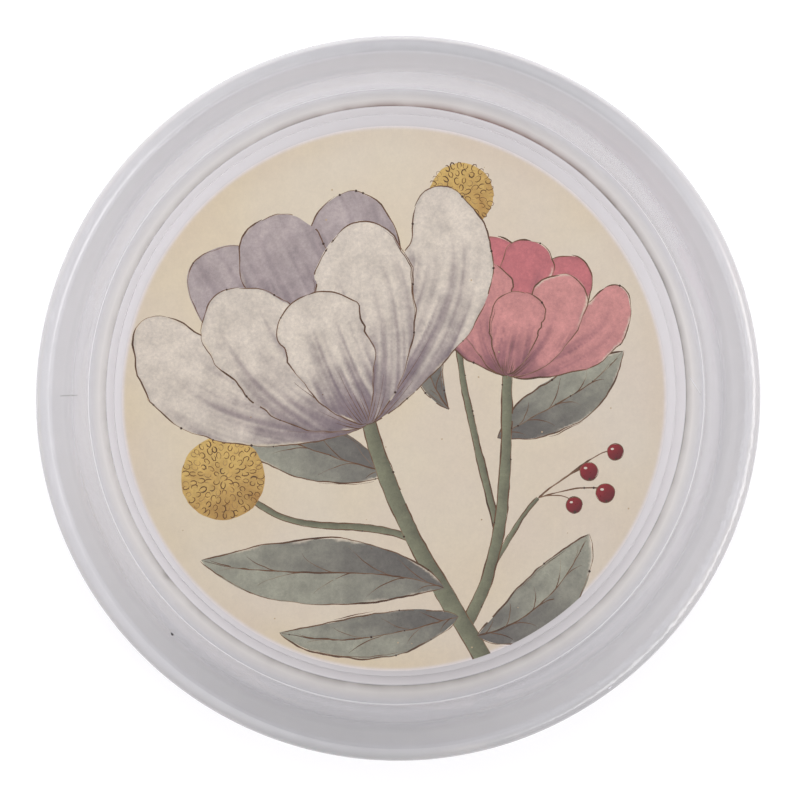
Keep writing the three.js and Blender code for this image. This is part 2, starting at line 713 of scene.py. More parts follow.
@dataclass
class GlassDish:
    """The clear dish: foot ring, flared wall, rounded lip, steep cove and flat floor.

    A lean is how far a wave turns about the axis for each millimetre of height, in radians.
    """

    rim_radius: float
    height: float
    lip_width: float = 3.0
    lip_outer_round: float = 1.9
    lip_inner_round: float = 1.9
    lip_margin: float = 0.3
    lip_facets: int = 12
    rim_band_height: float = 6.5
    rim_band_round: float = 8.5
    foot_outer_radius: float = 61.8
    foot_outer_round: float = 0.3
    foot_facets: int = 8
    recess_radius: float = 58.0
    recess_depth: float = 1.3
    recess_draft: float = 0.1
    recess_corner_round: float = 0.12
    recess_mouth_round: float = 0.15
    recess_facets: int = 4
    floor_height: float = 5.7
    floor_radius: float = 59.5
    floor_crease_round: float = 0.3
    floor_margin: float = 0.5
    floor_rings: Pair = (0.6, 2.5)
    cove_top_radius: float = 63.0
    cove_top_height: float = 7.6
    cove_crease_round: float = 0.5
    wall_bend_radius: float = 65.4
    wall_bend_height: float = 12.1
    wall_bend_round: float = 24.0
    crease_facets: int = 6
    bead_height: float = 0.05
    bead_half_width: float = 0.28
    bead_reach: float = 1.5
    columns: int = 512
    longest_step: float = 1.6
    crease_step: float = 0.07
    crease_reach: float = 0.7
    slow_swells: tuple[int, int] = (2, 7)
    crease_swells: tuple[int, int] = (2, 5)
    ripple_swells: tuple[int, int] = (70, 150)
    lip_dip: float = 0.12
    lip_dip_reach: float = 5.0
    wall_wave: float = 0.07
    wall_wave_rise: float = 3.0
    wall_wave_lean: float = 0.03
    outer_wave_span: Pair = (1.0, 5.0)
    outer_wave_lean: float = 0.02
    lip_ripple: float = 0.022
    lip_ripple_reach: float = 2.5
    lip_ripple_lean: float = 0.05
    upright_ripple: Pair = (1.31, 2.0)
    crease_wave: float = 0.14
    crease_wave_spread: float = 1.6
    seed: int = 4

    @property
    def inner_limit(self) -> float:
        """The radius that parts the inner face from the top of the lip and the outer face."""
        return self.rim_radius - self.lip_width + self.lip_margin

    @property
    def upper_limit(self) -> float:
        """The height that parts the floor's upper face from its underside."""
        return self.floor_height - self.floor_margin

    def profile(self) -> list[Vector]:
        """The outline under the floor, round the foot, over the lip and down inside.

        Returns:
            Its (radius, height) points, from the axis back to the axis.
        """
        roof_edge = self.recess_radius - self.recess_draft
        band_foot = self.height - self.rim_band_height
        inner_edge = self.rim_radius - self.lip_width
        corners = [
            Corner(0.0, self.recess_depth),
            Corner(roof_edge, self.recess_depth, self.recess_corner_round, self.recess_facets),
            Corner(self.recess_radius, 0.0, self.recess_mouth_round, self.recess_facets),
            Corner(self.foot_outer_radius, 0.0, self.foot_outer_round, self.foot_facets),
            Corner(self.rim_radius, band_foot, self.rim_band_round, self.lip_facets),
            Corner(self.rim_radius, self.height, self.lip_outer_round, self.lip_facets),
            Corner(inner_edge, self.height, self.lip_inner_round, self.lip_facets),
            Corner(self.wall_bend_radius, self.wall_bend_height, self.wall_bend_round, self.crease_facets),
            Corner(self.cove_top_radius, self.cove_top_height, self.cove_crease_round, self.crease_facets),
            Corner(self.floor_radius, self.floor_height, self.floor_crease_round, self.crease_facets),
            Corner(0.0, self.floor_height),
        ]
        points = [corners[0].place]
        for before, corner, after in zip(corners, corners[1:], corners[2:]):
            points.extend(rounded(before, corner, after))
        points.append(corners[-1].place)
        points[-1:-1] = [Vector((self.floor_radius - step, self.floor_height)) for step in self.floor_rings]
        fine = divided(points[1:-1], self._longest_at)
        return [points[0], *fine, points[-1]]

    def _longest_at(self, place: Vector) -> float:
        """The longest step of the profile near a place: short at both creases, where fine lines run.

        Args:
            place: A (radius, height) point of the profile.

        Returns:
            The step in millimetres.
        """
        inside = self.floor_height - 0.1 < place.y < self.cove_top_height + 1.0
        at_floor = -self.crease_reach < place.x - self.floor_radius < 1.0
        at_bead = abs(place.x - self.cove_top_radius) < self.crease_reach
        return self.crease_step if inside and (at_floor or at_bead) else self.longest_step

    def inner_point(self, x: float, y: float) -> Vector:
        """The point of the dish's inner face straight above or below (x, y).

        Args:
            x: Millimetres to the right of the axis.
            y: Millimetres towards the top edge of the print.

        Returns:
            The point in millimetres.
        """
        bends = [
            (self.floor_radius, self.floor_height),
            (self.cove_top_radius, self.cove_top_height),
            (self.wall_bend_radius, self.wall_bend_height),
            (self.rim_radius - self.lip_width, self.height),
        ]
        return Vector((x, y, float(np.interp(math.hypot(x, y), *zip(*bends)))))

    def build(self) -> Object:
        """Turns the profile about the axis, with the small unevenness of pressed glass.

        Returns:
            The new object.
        """
        profile = self.profile()
        ring = np.array([point[:] for point in profile[1:-1]])
        angles = np.linspace(0.0, math.tau, self.columns, endpoint=False)
        radius = np.repeat(ring[None, :, 0], self.columns, 0)
        height = np.repeat(ring[None, :, 1], self.columns, 0)
        self._raise_bead(ring, height)
        self._make_uneven(angles[:, None], radius, height)
        x = radius * np.cos(angles)[:, None]
        y = radius * np.sin(angles)[:, None]
        verts = np.stack([x, y, height], -1).reshape(-1, 3)
        poles = [(0.0, 0.0, profile[0].y), (0.0, 0.0, profile[-1].y)]
        mesh = bpy.data.meshes.new("clear_glass_dish")
        mesh.from_pydata(np.vstack([verts, poles]) * MM, [], self._faces(len(ring)))
        mesh.update()
        mesh.polygons.foreach_set("use_smooth", np.ones(len(mesh.polygons), bool))
        # Marks the wear, the soiling and the painted shade, light and reflection of the glass.
        GlassWearAndShading(GlassPoints.of(self, ring, angles)).mark(mesh)
        return new_object("clear_glass_dish", mesh)

    def dress(self, made: Object) -> Object:
        """Gives the dish its glass."""
        return dressed(made, ClearGlass().material(), "clear_glass", "glass_dish")

    def _faces(self, rings: int) -> list[tuple[int, ...]]:
        """The quads between neighbouring columns and the fans that close both ends.

        Args:
            rings: How many vertices each column has.

        Returns:
            The corners of each face.
        """
        bottom = self.columns * rings
        faces: list[tuple[int, ...]] = []
        for column in range(self.columns):
            here = column * rings
            there = (column + 1) % self.columns * rings
            faces.append((bottom, there, here))
            faces.extend((here + i, there + i, there + i + 1, here + i + 1) for i in range(rings - 1))
            faces.append((bottom + 1, here + rings - 1, there + rings - 1))
        return faces

    def _raise_bead(self, ring: Array, height: Array) -> None:
        """Raises the fine bead that the plunger left along the cove's upper crease.

        Args:
            ring: The profile's (radius, height) rows.
            height: Every vertex's height, changed in place.
        """
        inside = ring[:, 1] > self.floor_height
        near = ridge(ring[:, 0], self.cove_top_radius, self.bead_half_width)
        low = ring[:, 1] < self.wall_bend_height
        outer = ring[:, 0] > self.cove_top_radius + self.bead_reach
        height += self.bead_height * near * (inside & low & ~outer)

    def _make_uneven(self, angles: Array, radius: Array, height: Array) -> None:
        """Moves the wall and lip in and down a little, never out of the dish's own box.

        Args:
            angles: The angle of each column, one to a row.
            radius: Every vertex's radius, changed in place.
            height: Every vertex's height, changed in place.
        """
        rng = random.Random(self.seed)
        dip, wall, outside = (HandWave(rng, *self.slow_swells) for _ in range(3))
        ripple = HandWave(rng, *self.ripple_swells)
        crease = HandWave(rng, *self.crease_swells)
        inner_face = radius < self.inner_limit
        outer_face = (radius > self.foot_outer_radius) * (1.0 - inner_face)
        wave_top = self.cove_top_height + self.wall_wave_rise
        inner = smoothstep(self.cove_top_height, wave_top, height) * inner_face
        outer = smoothstep(*self.outer_wave_span, height) * outer_face
        floor_edge = ridge(radius, self.floor_radius, self.crease_wave_spread) * (height > self.upper_limit)
        radius += self.crease_wave * floor_edge * crease.at(angles)
        lip = smoothstep(self.height - self.lip_dip_reach, self.height, height)
        ripple_foot = self.height - self.lip_ripple_reach
        rough = Side.RIPPLED_LIP.at(angles) * smoothstep(ripple_foot, self.height, height)
        climb = self.wall_wave * inner * wall.at(angles + self.wall_wave_lean * height)
        outer_swell = 1.0 + outside.at(angles + self.outer_wave_lean * height)
        radius += climb - self.wall_wave * 0.5 * outer * outer_swell
        radius -= self.lip_ripple * rough * (1.0 + ripple.at(angles + self.lip_ripple_lean * height))
        height -= lip * self.lip_dip * 0.5 * (1.0 + dip.at(angles))
        stretch, turn = self.upright_ripple
        height -= self.lip_ripple * rough * (1.0 + ripple.at(stretch * angles + turn))


class Zone(Enum):
    """Where each zone of the glass starts and where it is full, in millimetres beyond a line of the dish."""

    LIP = (-8.0, -3.5)
    LIP_RIPPLES = (-2.4, -0.8)
    LIP_EDGE = (-0.6, -0.15)
    BRINK = (-1.2, -0.3)
    WALL = (1.2, 4.2)
    ABOVE_BEAD = (-0.1, 0.4)
    COVE = (-0.05, 0.25)
    LOW_COVE = (2.2, 0.5)
    # Where the painted shade on the cove's foot rises and falls.
    SHADED_FOOT_RISE = (0.1, 0.4)
    SHADED_FOOT_FALL = (2.4, 1.0)
    RECESS_ROOF = (0.3, 0.1)

    def beyond(self, line: float, place: Array) -> Array:
        """How far each place lies in the zone, from 0 to 1, when it is measured from a line."""
        start, full = self.value
        return smoothstep(line + start, line + full, place)


@dataclass(frozen=True)
class GlassPoints:
    """Every vertex of the undisplaced glass, and the parts of the glass that it belongs to."""

    dish: GlassDish
    radius: Array
    z: Array
    angle: Array
    foot_margin: float = 0.5
    recess_margin: float = 2.4
    bead_half_width: float = 0.12

    @classmethod
    def of(cls, dish: GlassDish, ring: Array, angles: Array) -> "GlassPoints":
        """The vertices in the mesh's order: column by column, and then the two on the axis.

        Args:
            dish: The dish.
            ring: The profile's (radius, height) rows.
            angles: The angle of each column.

        Returns:
            The vertices.
        """
        poles = ((0.0, dish.recess_depth), (0.0, dish.floor_height))
        radius, z = np.vstack([np.tile(ring, (dish.columns, 1)), poles]).T
        return cls(dish, radius, z, np.r_[np.repeat(angles, len(ring)), 0.0, 0.0])

    @property
    def upper(self) -> Array:
        """Everything above the floor's underside."""
        return self.z > self.dish.upper_limit

    @property
    def inside(self) -> Array:
        """The inner face."""
        return self.upper & (self.radius < self.dish.inner_limit)

    @property
    def outside(self) -> Array:
        """The outer face and the lip."""
        return (self.radius > self.dish.foot_outer_radius - self.foot_margin) & ~self.inside

    @property
    def lip(self) -> Array:
        """The top of the wall on both faces."""
        return Zone.LIP.beyond(self.dish.height, self.z)

    @property
    def above_bead(self) -> Array:
        """The inner face from the bead upwards."""
        return Zone.ABOVE_BEAD.beyond(self.dish.cove_top_radius, self.radius) * self.inside

    @property
    def bead(self) -> Array:
        """The fine bead along the cove's upper crease."""
        return ridge(self.radius, self.dish.cove_top_radius, self.bead_half_width) * self.inside

    @property
    def cove(self) -> Array:
        """The steep cove between the floor and the bead."""
        return Zone.COVE.beyond(self.dish.floor_radius, self.radius) * (self.inside - self.above_bead)

    @property
    def low_cove(self) -> Array:
        """The cove's foot."""
        return Zone.LOW_COVE.beyond(self.dish.floor_radius, self.radius) * self.cove

    @property
    def recess(self) -> Array:
        """The ring of the recess's roof that the papers leave bare."""
        roof = Zone.RECESS_ROOF.beyond(self.dish.recess_depth, self.z)
        return roof * (self.radius > self.dish.recess_radius - self.recess_margin)


@dataclass(frozen=True)
class CreaseSoilingAndShade:
    """Dark lines along the floor's crease, beside it, behind the bead and on the cove's foot: partly soiling
    and partly painted shade.

    The smear's angles are in degrees and run clockwise from its middle.
    """

    points: GlassPoints
    crease_half_width: float = 0.085
    brown_widening: float = 0.06
    # Widening on the low side is painted shade.
    low_widening: float = 0.045
    crease_level: float = 0.86
    brown_gain: float = 0.14
    smear_middle: float = -97.0
    smear_level: float = 0.9
    smear_half_width: float = 0.09
    smear_start: Pair = (-44.0, -34.0)
    smear_end: Pair = (52.0, 44.0)
    smear_gaps: tuple[Triple, ...] = ((0.45, 50.0, 33.0), (0.30, 33.0, -20.0))
    # A dark line just outside the bead, stronger towards the lower right: painted shade.
    behind_bead: float = 0.32
    behind_half_width: float = 0.08
    behind_level: float = 0.30
    behind_turn: float = 0.6
    # Painted shade on the cove's foot, more on the low side and less on the lit side.
    foot_shade_level: float = 0.10
    low_foot_shade_gain: float = 0.13
    lit_foot_shade_loss: float = 0.08

    def amount(self) -> Array:
        """How dark the soiling and the painted shade make each vertex.

        Returns:
            One share from 0 to 1 for each vertex.
        """
        points, dish = self.points, self.points.dish
        low, lit = Side.LOW_CREASE.at(points.angle), Side.LIT_COVE.at(points.angle)
        # Painted shade: a dark line just outside the bead, stronger towards the lower right.
        behind = ridge(points.radius - dish.cove_top_radius, self.behind_bead, self.behind_half_width)
        behind = behind * (0.5 + 0.5 * np.cos(points.angle + self.behind_turn))
        # Painted shade on the cove's foot, more on the low side and less on the lit side.
        cloud = Zone.SHADED_FOOT_FALL.beyond(dish.floor_radius, points.radius)
        cloud = cloud * Zone.SHADED_FOOT_RISE.beyond(dish.floor_radius, points.radius)
        cloud = cloud * (self.foot_shade_level + self.low_foot_shade_gain * low - self.lit_foot_shade_loss * lit)
        lines = np.maximum(self._crease(low), self.smear_level * self._smear())
        soiling_and_shade = np.clip(lines + self.behind_level * behind + cloud, 0.0, 1.0)
        return soiling_and_shade * (points.upper & (points.z < dish.wall_bend_height))

    def _crease(self, low: Array) -> Array:
        """The dark line in the crease: soiling, wider and darker on its brown side, and widened on the low
        side as painted shade.

        Args:
            low: How far each vertex lies on the low side.

        Returns:
            One share for each vertex.
        """
        points = self.points
        brown = Side.BROWN_CREASE.at(points.angle)
        half_width = self.crease_half_width + self.brown_widening * brown + self.low_widening * low
        line = ridge(points.radius, points.dish.floor_radius, half_width)
        return line * (self.crease_level + self.brown_gain * brown)

    def _smear(self) -> Array:
        """A second line that leaves the crease slowly, on the low side only.

        Returns:
            One share for each vertex.
        """
        points = self.points
        turned = np.degrees(np.angle(np.exp(1j * (math.radians(self.smear_middle) - points.angle))))
        gap = sum(width * smoothstep(first, last, turned) for width, first, last in self.smear_gaps)
        line = ridge(points.radius - points.dish.floor_radius, gap, self.smear_half_width)
        return line * smoothstep(*self.smear_start, turned) * smoothstep(*self.smear_end, turned)


@dataclass(frozen=True)
class GlassWearAndShading:
    """How worn, hazy and grey the glass is, with painted shade and light in its grey and its crease lines.
    Levels are shares from 0 to 1 of the full effect.
    """

    points: GlassPoints
    lip_polish: float = 0.95
    cove_haze: float = 0.42
    low_cove_haze: float = 0.45
    wall_haze: float = 0.26
    outer_haze: float = 0.10
    lip_haze: float = 0.82
    bead_haze: float = 0.85
    recess_haze: float = 0.92
    # The greys below give each zone a grey of its own. Their side gains are painted shade, their side losses
    # painted light, the bands painted shadows seen through the wall, and the bead's loss of grey a painted
    # highlight.
    cove_grey: float = 0.52
    low_cove_grey: float = 0.08
    outer_grey: float = 0.46
    ring_grey: float = 0.08
    far_ring_gain: float = 0.54
    low_ring_gain: float = 0.68
    lip_grey: float = 0.52
    far_lip_gain: float = 0.46
    lit_lip_loss: float = 0.24
    brink_highlight: float = 0.34
    upper_wall_grey: float = 0.48
    far_wall_loss: float = 0.26
    bead_wall_grey: float = 0.08
    wall_gain: float = 0.44
    low_wall_gain: float = 0.20
    right_wall_gain: float = 0.10
    lit_wall_loss: float = 0.08
    band_grey: float = 0.62
    band_height: float = 7.2
    band_half_width: float = 2.1
    far_band_loss: float = 0.30
    inner_band_grey: float = 0.18
    inner_band_height: float = 12.8
    inner_band_half_width: float = 1.6
    low_side_grey: float = 0.30
    low_side_cove_gain: float = 0.30
    painted_bead_highlight: float = 0.9
    low_bead_gain: float = 0.35
    recess_film: float = 0.4

    def mark(self, mesh: Mesh) -> None:
        """Keeps every share on the mesh, under the names that the glass reads.

        Args:
            mesh: The dish's mesh, its vertices in the order of the points.
        """
        points, dish = self.points, self.points.dish
        polished = Side.POLISHED_LIP.at(points.angle)
        soiling_and_shade = CreaseSoilingAndShade(points).amount()
        # Warmer on the cove towards the floor's crease: a painted reflection of the cream print.
        film = smoothstep(dish.cove_top_radius, dish.floor_radius, points.radius)
        film = film * (points.radius > dish.floor_radius) * points.upper
        shares = {
            "worn": points.lip * (1.0 - self.lip_polish * polished),
            "chatter": polished * Zone.LIP_RIPPLES.beyond(dish.height, points.z),
            # Dark crease lines: soiling and painted shade.
            "crease_soiling_and_shade": soiling_and_shade,
            "rust": Side.RUSTY_CREASE.at(points.angle),
            "haze": self._haze(soiling_and_shade),
            # Grey for each zone, with painted shade, painted light and a painted highlight on the bead.
            "grey_and_painted_shading": self._tint(),
            "warm_tint_and_reflection": np.maximum(film, self.recess_film * points.recess),
        }
        for name, values in shares.items():
            attribute = mesh.attributes.new(name, "FLOAT", "POINT")
            attribute.data.foreach_set("value", values.astype(np.float32))

    def _haze(self, soiling_and_shade: Array) -> Array:
        """How much of its clearness the glass has lost.

        Args:
            soiling_and_shade: How dark the soiling and the painted shade make each vertex.

        Returns:
            One share for each vertex.
        """
        points = self.points
        layers = [
            self.cove_haze * points.cove + self.low_cove_haze * points.low_cove,
            self.wall_haze * points.above_bead,
            self.outer_haze * points.outside,
            self.lip_haze * points.lip,
            self.bead_haze * points.bead,
            self.recess_haze * points.recess,
            soiling_and_shade,
        ]
        return np.maximum.reduce(layers)

    def _tint(self) -> Array:
        """How much grey each zone shows, with painted shade and light by side, painted shadow bands in the
        wall, and the bead cleared of grey as a painted highlight.

        Returns:
            One share for each vertex.
        """
        points, angle = self.points, self.points.angle
        recess, low_cove = points.recess, points.low_cove
        # The bare ring of the recess roof is greyer on the far and low sides: painted shade.
        ring_grey = self.ring_grey + self.far_ring_gain * Side.FAR_RING.at(angle)
        layers = [
            self.cove_grey * points.cove + self.low_cove_grey * low_cove,
            self._wall_grey() * points.above_bead,
            self.outer_grey * points.outside,
            (ring_grey + self.low_ring_gain * Side.LOW_RING.at(angle)) * recess,
            self._lip_grey() * points.lip,
        ]
        # Grey bands round the outer and inner faces of the wall: painted shadows seen through the glass.
        band = ridge(points.z, self.band_height, self.band_half_width) * points.outside
        inner_band = ridge(points.z, self.inner_band_height, self.inner_band_half_width) * points.inside
        inner_band = inner_band * Side.RIGHT_BAND.at(angle)
        band_grey = self.band_grey - self.far_band_loss * Side.FAR.at(angle)
        tinted = np.maximum.reduce(layers) + band_grey * band + self.inner_band_grey * inner_band
        # More grey towards the low side, more still at the cove's foot: painted shade.
        low_side = Side.LOW.at(angle) * (points.radius > points.dish.floor_radius) * (recess == 0.0)
        tinted = tinted + (self.low_side_grey + self.low_side_cove_gain * low_cove) * low_side
        # The bead loses its grey, a little less on the low side: a painted highlight line.
        kept = 1.0 - (self.painted_bead_highlight - self.low_bead_gain * low_side) * points.bead
        return np.clip(tinted * kept, 0.0, 1.0)

    def _wall_grey(self) -> Array:
        """The grey of the inner wall, with painted shade on the low and right sides and painted light, less
        grey, where light falls in.

        Returns:
            One share for each vertex.
        """
        points, angle = self.points, self.points.angle
        gain = self.low_wall_gain * Side.LOW_WALL.at(angle) + self.right_wall_gain * Side.RIGHT_WALL.at(angle)
        wall = Zone.WALL.beyond(points.dish.cove_top_radius, points.radius) * points.inside
        return self.bead_wall_grey + (self.wall_gain + gain) * wall - self.lit_wall_loss * Side.LIT.at(angle)

    def _lip_grey(self) -> Array:
        """The grey of the upper wall, and of the lip's highest line where it takes over: painted shade makes
        the lip greyer on the far side, and painted light makes it lighter on the lit side and at the outer
        brink, and the upper wall lighter on the far side.

        Returns:
            One share for each vertex.
        """
        points, dish, angle = self.points, self.points.dish, self.points.angle
        far = Side.FAR.at(angle)
        lip = self.lip_grey + self.far_lip_gain * far - self.lit_lip_loss * Side.LIT.at(angle)
        brink = Zone.BRINK.beyond(dish.rim_radius, points.radius)
        # A lighter outer brink towards the lower right: a painted highlight.
        lip = lip - self.brink_highlight * brink * Side.OUTER_BRINK.at(angle)
        upper_wall = self.upper_wall_grey - self.far_wall_loss * far
        return upper_wall + (lip - upper_wall) * Zone.LIP_EDGE.beyond(dish.height, points.z)


@dataclass(frozen=True)
class Mark:
    """A small long flaw on the inner face or the lip, from one place to another seen from above."""

    name: str
    start: Pair
    end: Pair
    width: float
    finish: PlainSpeck
    height: float | None = None
    stand_out: float = 0.02
    sides: int = 8
    rings: int = 7
    face_slope: float = 0.6
    bluntness: float = 0.6
    lump_size: float = 0.25
    lump_rate: float = 7.0

    def build(self, dish: GlassDish) -> Object:
        """Makes the flaw as a closed spindle that lies in the surface.

        Args:
            dish: The dish that carries it.

        Returns:
            The new object.
        """
        ends = [dish.inner_point(*place) for place in (self.start, self.end)]
        if self.height is not None:
            ends = [Vector((point.x, point.y, self.height)) for point in ends]
        along = (ends[1] - ends[0]).normalized()
        outward = Vector((ends[0].x, ends[0].y, 0.0)).normalized()
        across = along.cross(Vector((-outward.x, -outward.y, self.face_slope)).normalized()).normalized()
        up = across.cross(along).normalized()
        verts = [ends[0]]
        for ring in range(1, self.rings):
            share = ring / self.rings
            middle = ends[0].lerp(ends[1], share)
            lumps = 1.0 + self.lump_size * math.sin(self.lump_rate * share)
            swell = math.sin(math.pi * share) ** self.bluntness * lumps
            for side in range(self.sides):
                turn = math.tau * side / self.sides
                sideways = 0.5 * self.width * swell * math.cos(turn)
                raised = self.stand_out * swell * math.sin(turn)
                verts.append(middle + across * sideways + up * raised)
        verts.append(ends[1])
        mesh = bpy.data.meshes.new(self.name)
        mesh.from_pydata([vert * MM for vert in verts], [], self._faces(len(verts) - 1))
        mesh.update()
        mesh.polygons.foreach_set("use_smooth", np.ones(len(mesh.polygons), bool))
        return new_object(self.name, mesh)

    def dress(self, made: Object) -> Object:
        """Gives the flaw its finish."""
        return dressed(made, self.finish.material(), "clear_glass")

    def _faces(self, last: int) -> list[tuple[int, ...]]:
        """The spindle's faces: a fan at each end and quads between the rings.

        Args:
            last: The number of the vertex at the far end.

        Returns:
            The corners of each face.
        """
        count = self.sides
        faces: list[tuple[int, ...]] = []
        for side in range(count):
            after = (side + 1) % count
            faces.append((0, 1 + after, 1 + side))
            for ring in range(self.rings - 2):
                low = 1 + ring * count
                faces.append((low + side, low + after, low + count + after, low + count + side))
            low = 1 + (self.rings - 2) * count
            faces.append((last, low + side, low + after))
        return faces


STONE = PlainSpeck("dark_stone", (24, 21, 20), 0.5)
FROSTED_GROOVE = PlainSpeck("frosted_groove", (248, 247, 252), 0.6)
GREY_GROOVE = PlainSpeck("grey_groove", (150, 152, 147), 0.6)
CHIP_BELOW_LIP = 0.26


def glass_marks(height: float) -> list[Mark]:
    """The few flaws of the glass: a stone, two scratches and a chip on the lip.

    Args:
        height: The dish's height.

    Returns:
        The flaws, to be built one by one.
    """
    chip_height = height - CHIP_BELOW_LIP
    return [
        Mark("wall_stone", (-45.95, -47.7), (-46.4, -47.05), 0.50, STONE, stand_out=0.30),
        Mark("cove_scratch", (60.0, 4.4), (62.6, 0.3), 0.20, FROSTED_GROOVE, stand_out=0.07),
        Mark("wall_scratch", (-64.7, 1.0), (-68.4, 1.1), 0.18, GREY_GROOVE, stand_out=0.07),
        Mark("lip_chip", (41.9, -58.6), (42.7, -57.8), 0.42, FROSTED_GROOVE, chip_height, 0.09),
    ]


# --- Painting: washes, ink and the partition that turns them into one mesh ---


def bezier(points: Sequence[Sequence[float]], share: Array) -> Array:
    """Points along a cubic Bezier curve.

    Args:
        points: Its four control points.
        share: How far along each wanted point is, from 0 to 1.

    Returns:
        One (x, y) row for each share.
    """
    a, b, c, d = (np.asarray(point, float) for point in points)
    t = np.asarray(share, float)[:, None]
    return (1 - t) ** 3 * a + 3 * (1 - t) ** 2 * t * b + 3 * (1 - t) * t**2 * c + t**3 * d


def normals_of(line: Array) -> Array:
    """Unit vectors to the left of a polyline, one for each of its points.

    Args:
        line: The polyline's (x, y) rows.

    Returns:
        One unit vector for each row.
    """
    along = np.gradient(line, axis=0)
    along /= np.maximum(np.linalg.norm(along, axis=1, keepdims=True), 1e-9)
    return np.stack([-along[:, 1], along[:, 0]], -1)


def polar(angle_degrees: float, length: float = 1.0) -> Array:
    """The vector of that length at that angle."""
    angle = math.radians(angle_degrees)
    return length * np.array([math.cos(angle), math.sin(angle)])


@dataclass
class Stroke:
    """A pen line whose width and darkness change with the pressure on the nib."""

    line: Array
    width: float = 0.32
    ink: Pigment = Pigment.INK
    fade_in: float = 0.12
    fade_out: float = 0.25
    wobble: float = 0.13
    skips: float = 0.0


class Painting:
    """Layers of washes and pen lines on a round sheet, drawn from the bottom up."""

    PAPER_LAYER = 0
    PAPER_GRAIN = 0.25
    WARM_CLOUD = 19.0
    ROSY_CLOUD = 13.0
    PEN_STEP = 0.5
    BROAD_PEN = 0.26
    BLOT_CHANCE = 0.022
    BLOT_RADIUS = 0.24
    BARE_GRID = 1.5
    GRID_SCATTER = 0.11
    EDGE_RINGS = (0.22, 0.45, 0.7, 1.0, 1.4)

    def __init__(self, radius: float, seed: int) -> None:
        """Lays the bare paper.

        Args:
            radius: The sheet's radius.
            seed: The seed of the hand's unevenness.
        """
        self.radius = radius
        self.rng = random.Random(seed)
        self.tone = SoftNoise(seed)
        self.edge = SoftNoise(seed + 1)
        self.points: list[Vector] = []
        self.faces: list[list[int]] = []
        self.paints: list[Paint] = []
        self.grains: list[float] = []
        self.fine_areas: list[tuple[Array, float]] = []
        circle = np.linspace(0.0, math.tau, 360, endpoint=False)
        self.layer(np.stack([radius * np.cos(circle), radius * np.sin(circle)], -1), self.ground)

    def ground(self, at: Array) -> Array:
        """The bare paper: cream, warmer and rosier in soft clouds, a little browner at the rim.

        Args:
            at: The (x, y) points that want a colour.

        Returns:
            One linear colour for each point.
        """
        x, y = at.T
        warm_cloud = self.tone.layered(x / self.WARM_CLOUD, y / self.WARM_CLOUD)
        rosy_cloud = self.tone.layered(x / self.ROSY_CLOUD + 40.0, y / self.ROSY_CLOUD)
        warm = np.clip(0.45 + 0.6 * warm_cloud - x / 150.0, 0.0, 1.0)[:, None]
        rosy = np.clip(0.3 + 0.7 * rosy_cloud, 0.0, 1.0)[:, None]
        colour = Pigment.CREAM.linear * (1 - warm) + Pigment.CREAM_WARM.linear * warm
        colour = colour * (1 - 0.5 * rosy) + Pigment.CREAM_ROSY.linear * 0.5 * rosy
        out = np.hypot(x, y)
        aged = 0.12 * smoothstep(self.radius - 6.0, self.radius - 1.0, out)[:, None]
        colour = colour * (1 - aged) + Pigment.FOXING.linear * aged
        pale = 0.85 * smoothstep(self.radius - 0.9, self.radius, out)[:, None]
        return colour * (1 - pale) + Pigment.CUT_EDGE.linear * pale

    def layer(self, outline: Array, paint: Paint, grain: float = PAPER_GRAIN) -> None:
        """Lays one closed shape of colour over what is there.

        Args:
            outline: The shape's corners in order.
            paint: Gives the colour at each point inside.
            grain: How much the colour settles in the paper's hollows, from 0 to 1.
        """
        x, y = outline.T
        area = 0.5 * np.sum(x * np.roll(y, -1) - np.roll(x, -1) * y)
        if abs(area) < 1e-4:
            return
        ordered = outline if area > 0 else outline[::-1]
        start = len(self.points)
        self.points.extend(Vector((float(px), float(py))) for px, py in ordered)
        self.faces.append(list(range(start, start + len(ordered))))
        self.paints.append(paint)
        self.grains.append(grain)

    def wash(self, outline: Array, paint: Paint, grid: float = 0.42) -> None:
        """Lays a shape of colour that changes inside, and so needs points on a fine grid."""
        self.layer(outline, paint, 1.0)
        self.fine_areas.append((outline, grid))

    def draw(self, stroke: Stroke) -> None:
        """Draws a pen line as short quads, so that loops may cross themselves.

        Args:
            stroke: The pen line.
        """
        line = resampled(stroke.line, self.PEN_STEP)
        if len(line) < 3:
            return
        count = len(line)
        phase = self.rng.uniform(0.0, 100.0)
        walk = np.arange(count) * self.PEN_STEP
        side = normals_of(line)
        drift = self.edge.at(walk / 3.1 + phase, phase) + 0.5 * self.edge.at(walk / 1.1, phase + 7.0)
        line = line + side * (stroke.wobble * drift)[:, None]
        slow, quick = self.edge.at(walk / 5.5, phase + 31.0), self.edge.at(walk / 1.4, phase + 61.0)
        press = 0.74 + 0.5 * slow + 0.28 * quick
        share = np.linspace(0.0, 1.0, count)
        taper = smoothstep(0.0, stroke.fade_in, share) * smoothstep(1.0, 1.0 - stroke.fade_out, share)
        half = 0.5 * stroke.width * np.clip(press, 0.36, 1.5) * (0.3 + 0.7 * taper)
        left, right = line + side * half[:, None], line - side * half[:, None]
        lifted = self.edge.at(walk / 4.0 + 50.0, phase) < 2.0 * stroke.skips - 1.0
        for i in range(count - 1):
            if not lifted[i]:
                quad = np.array([left[i], right[i], right[i + 1], left[i + 1]])
                self.layer(quad, self._ink(stroke.ink, float(press[i])))
        if stroke.width > self.BROAD_PEN:
            blots = [line[i] for i in range(2, count - 2) if self.rng.random() < self.BLOT_CHANCE]
            self.dots(blots, self.BLOT_RADIUS, Pigment.INK_DARK)

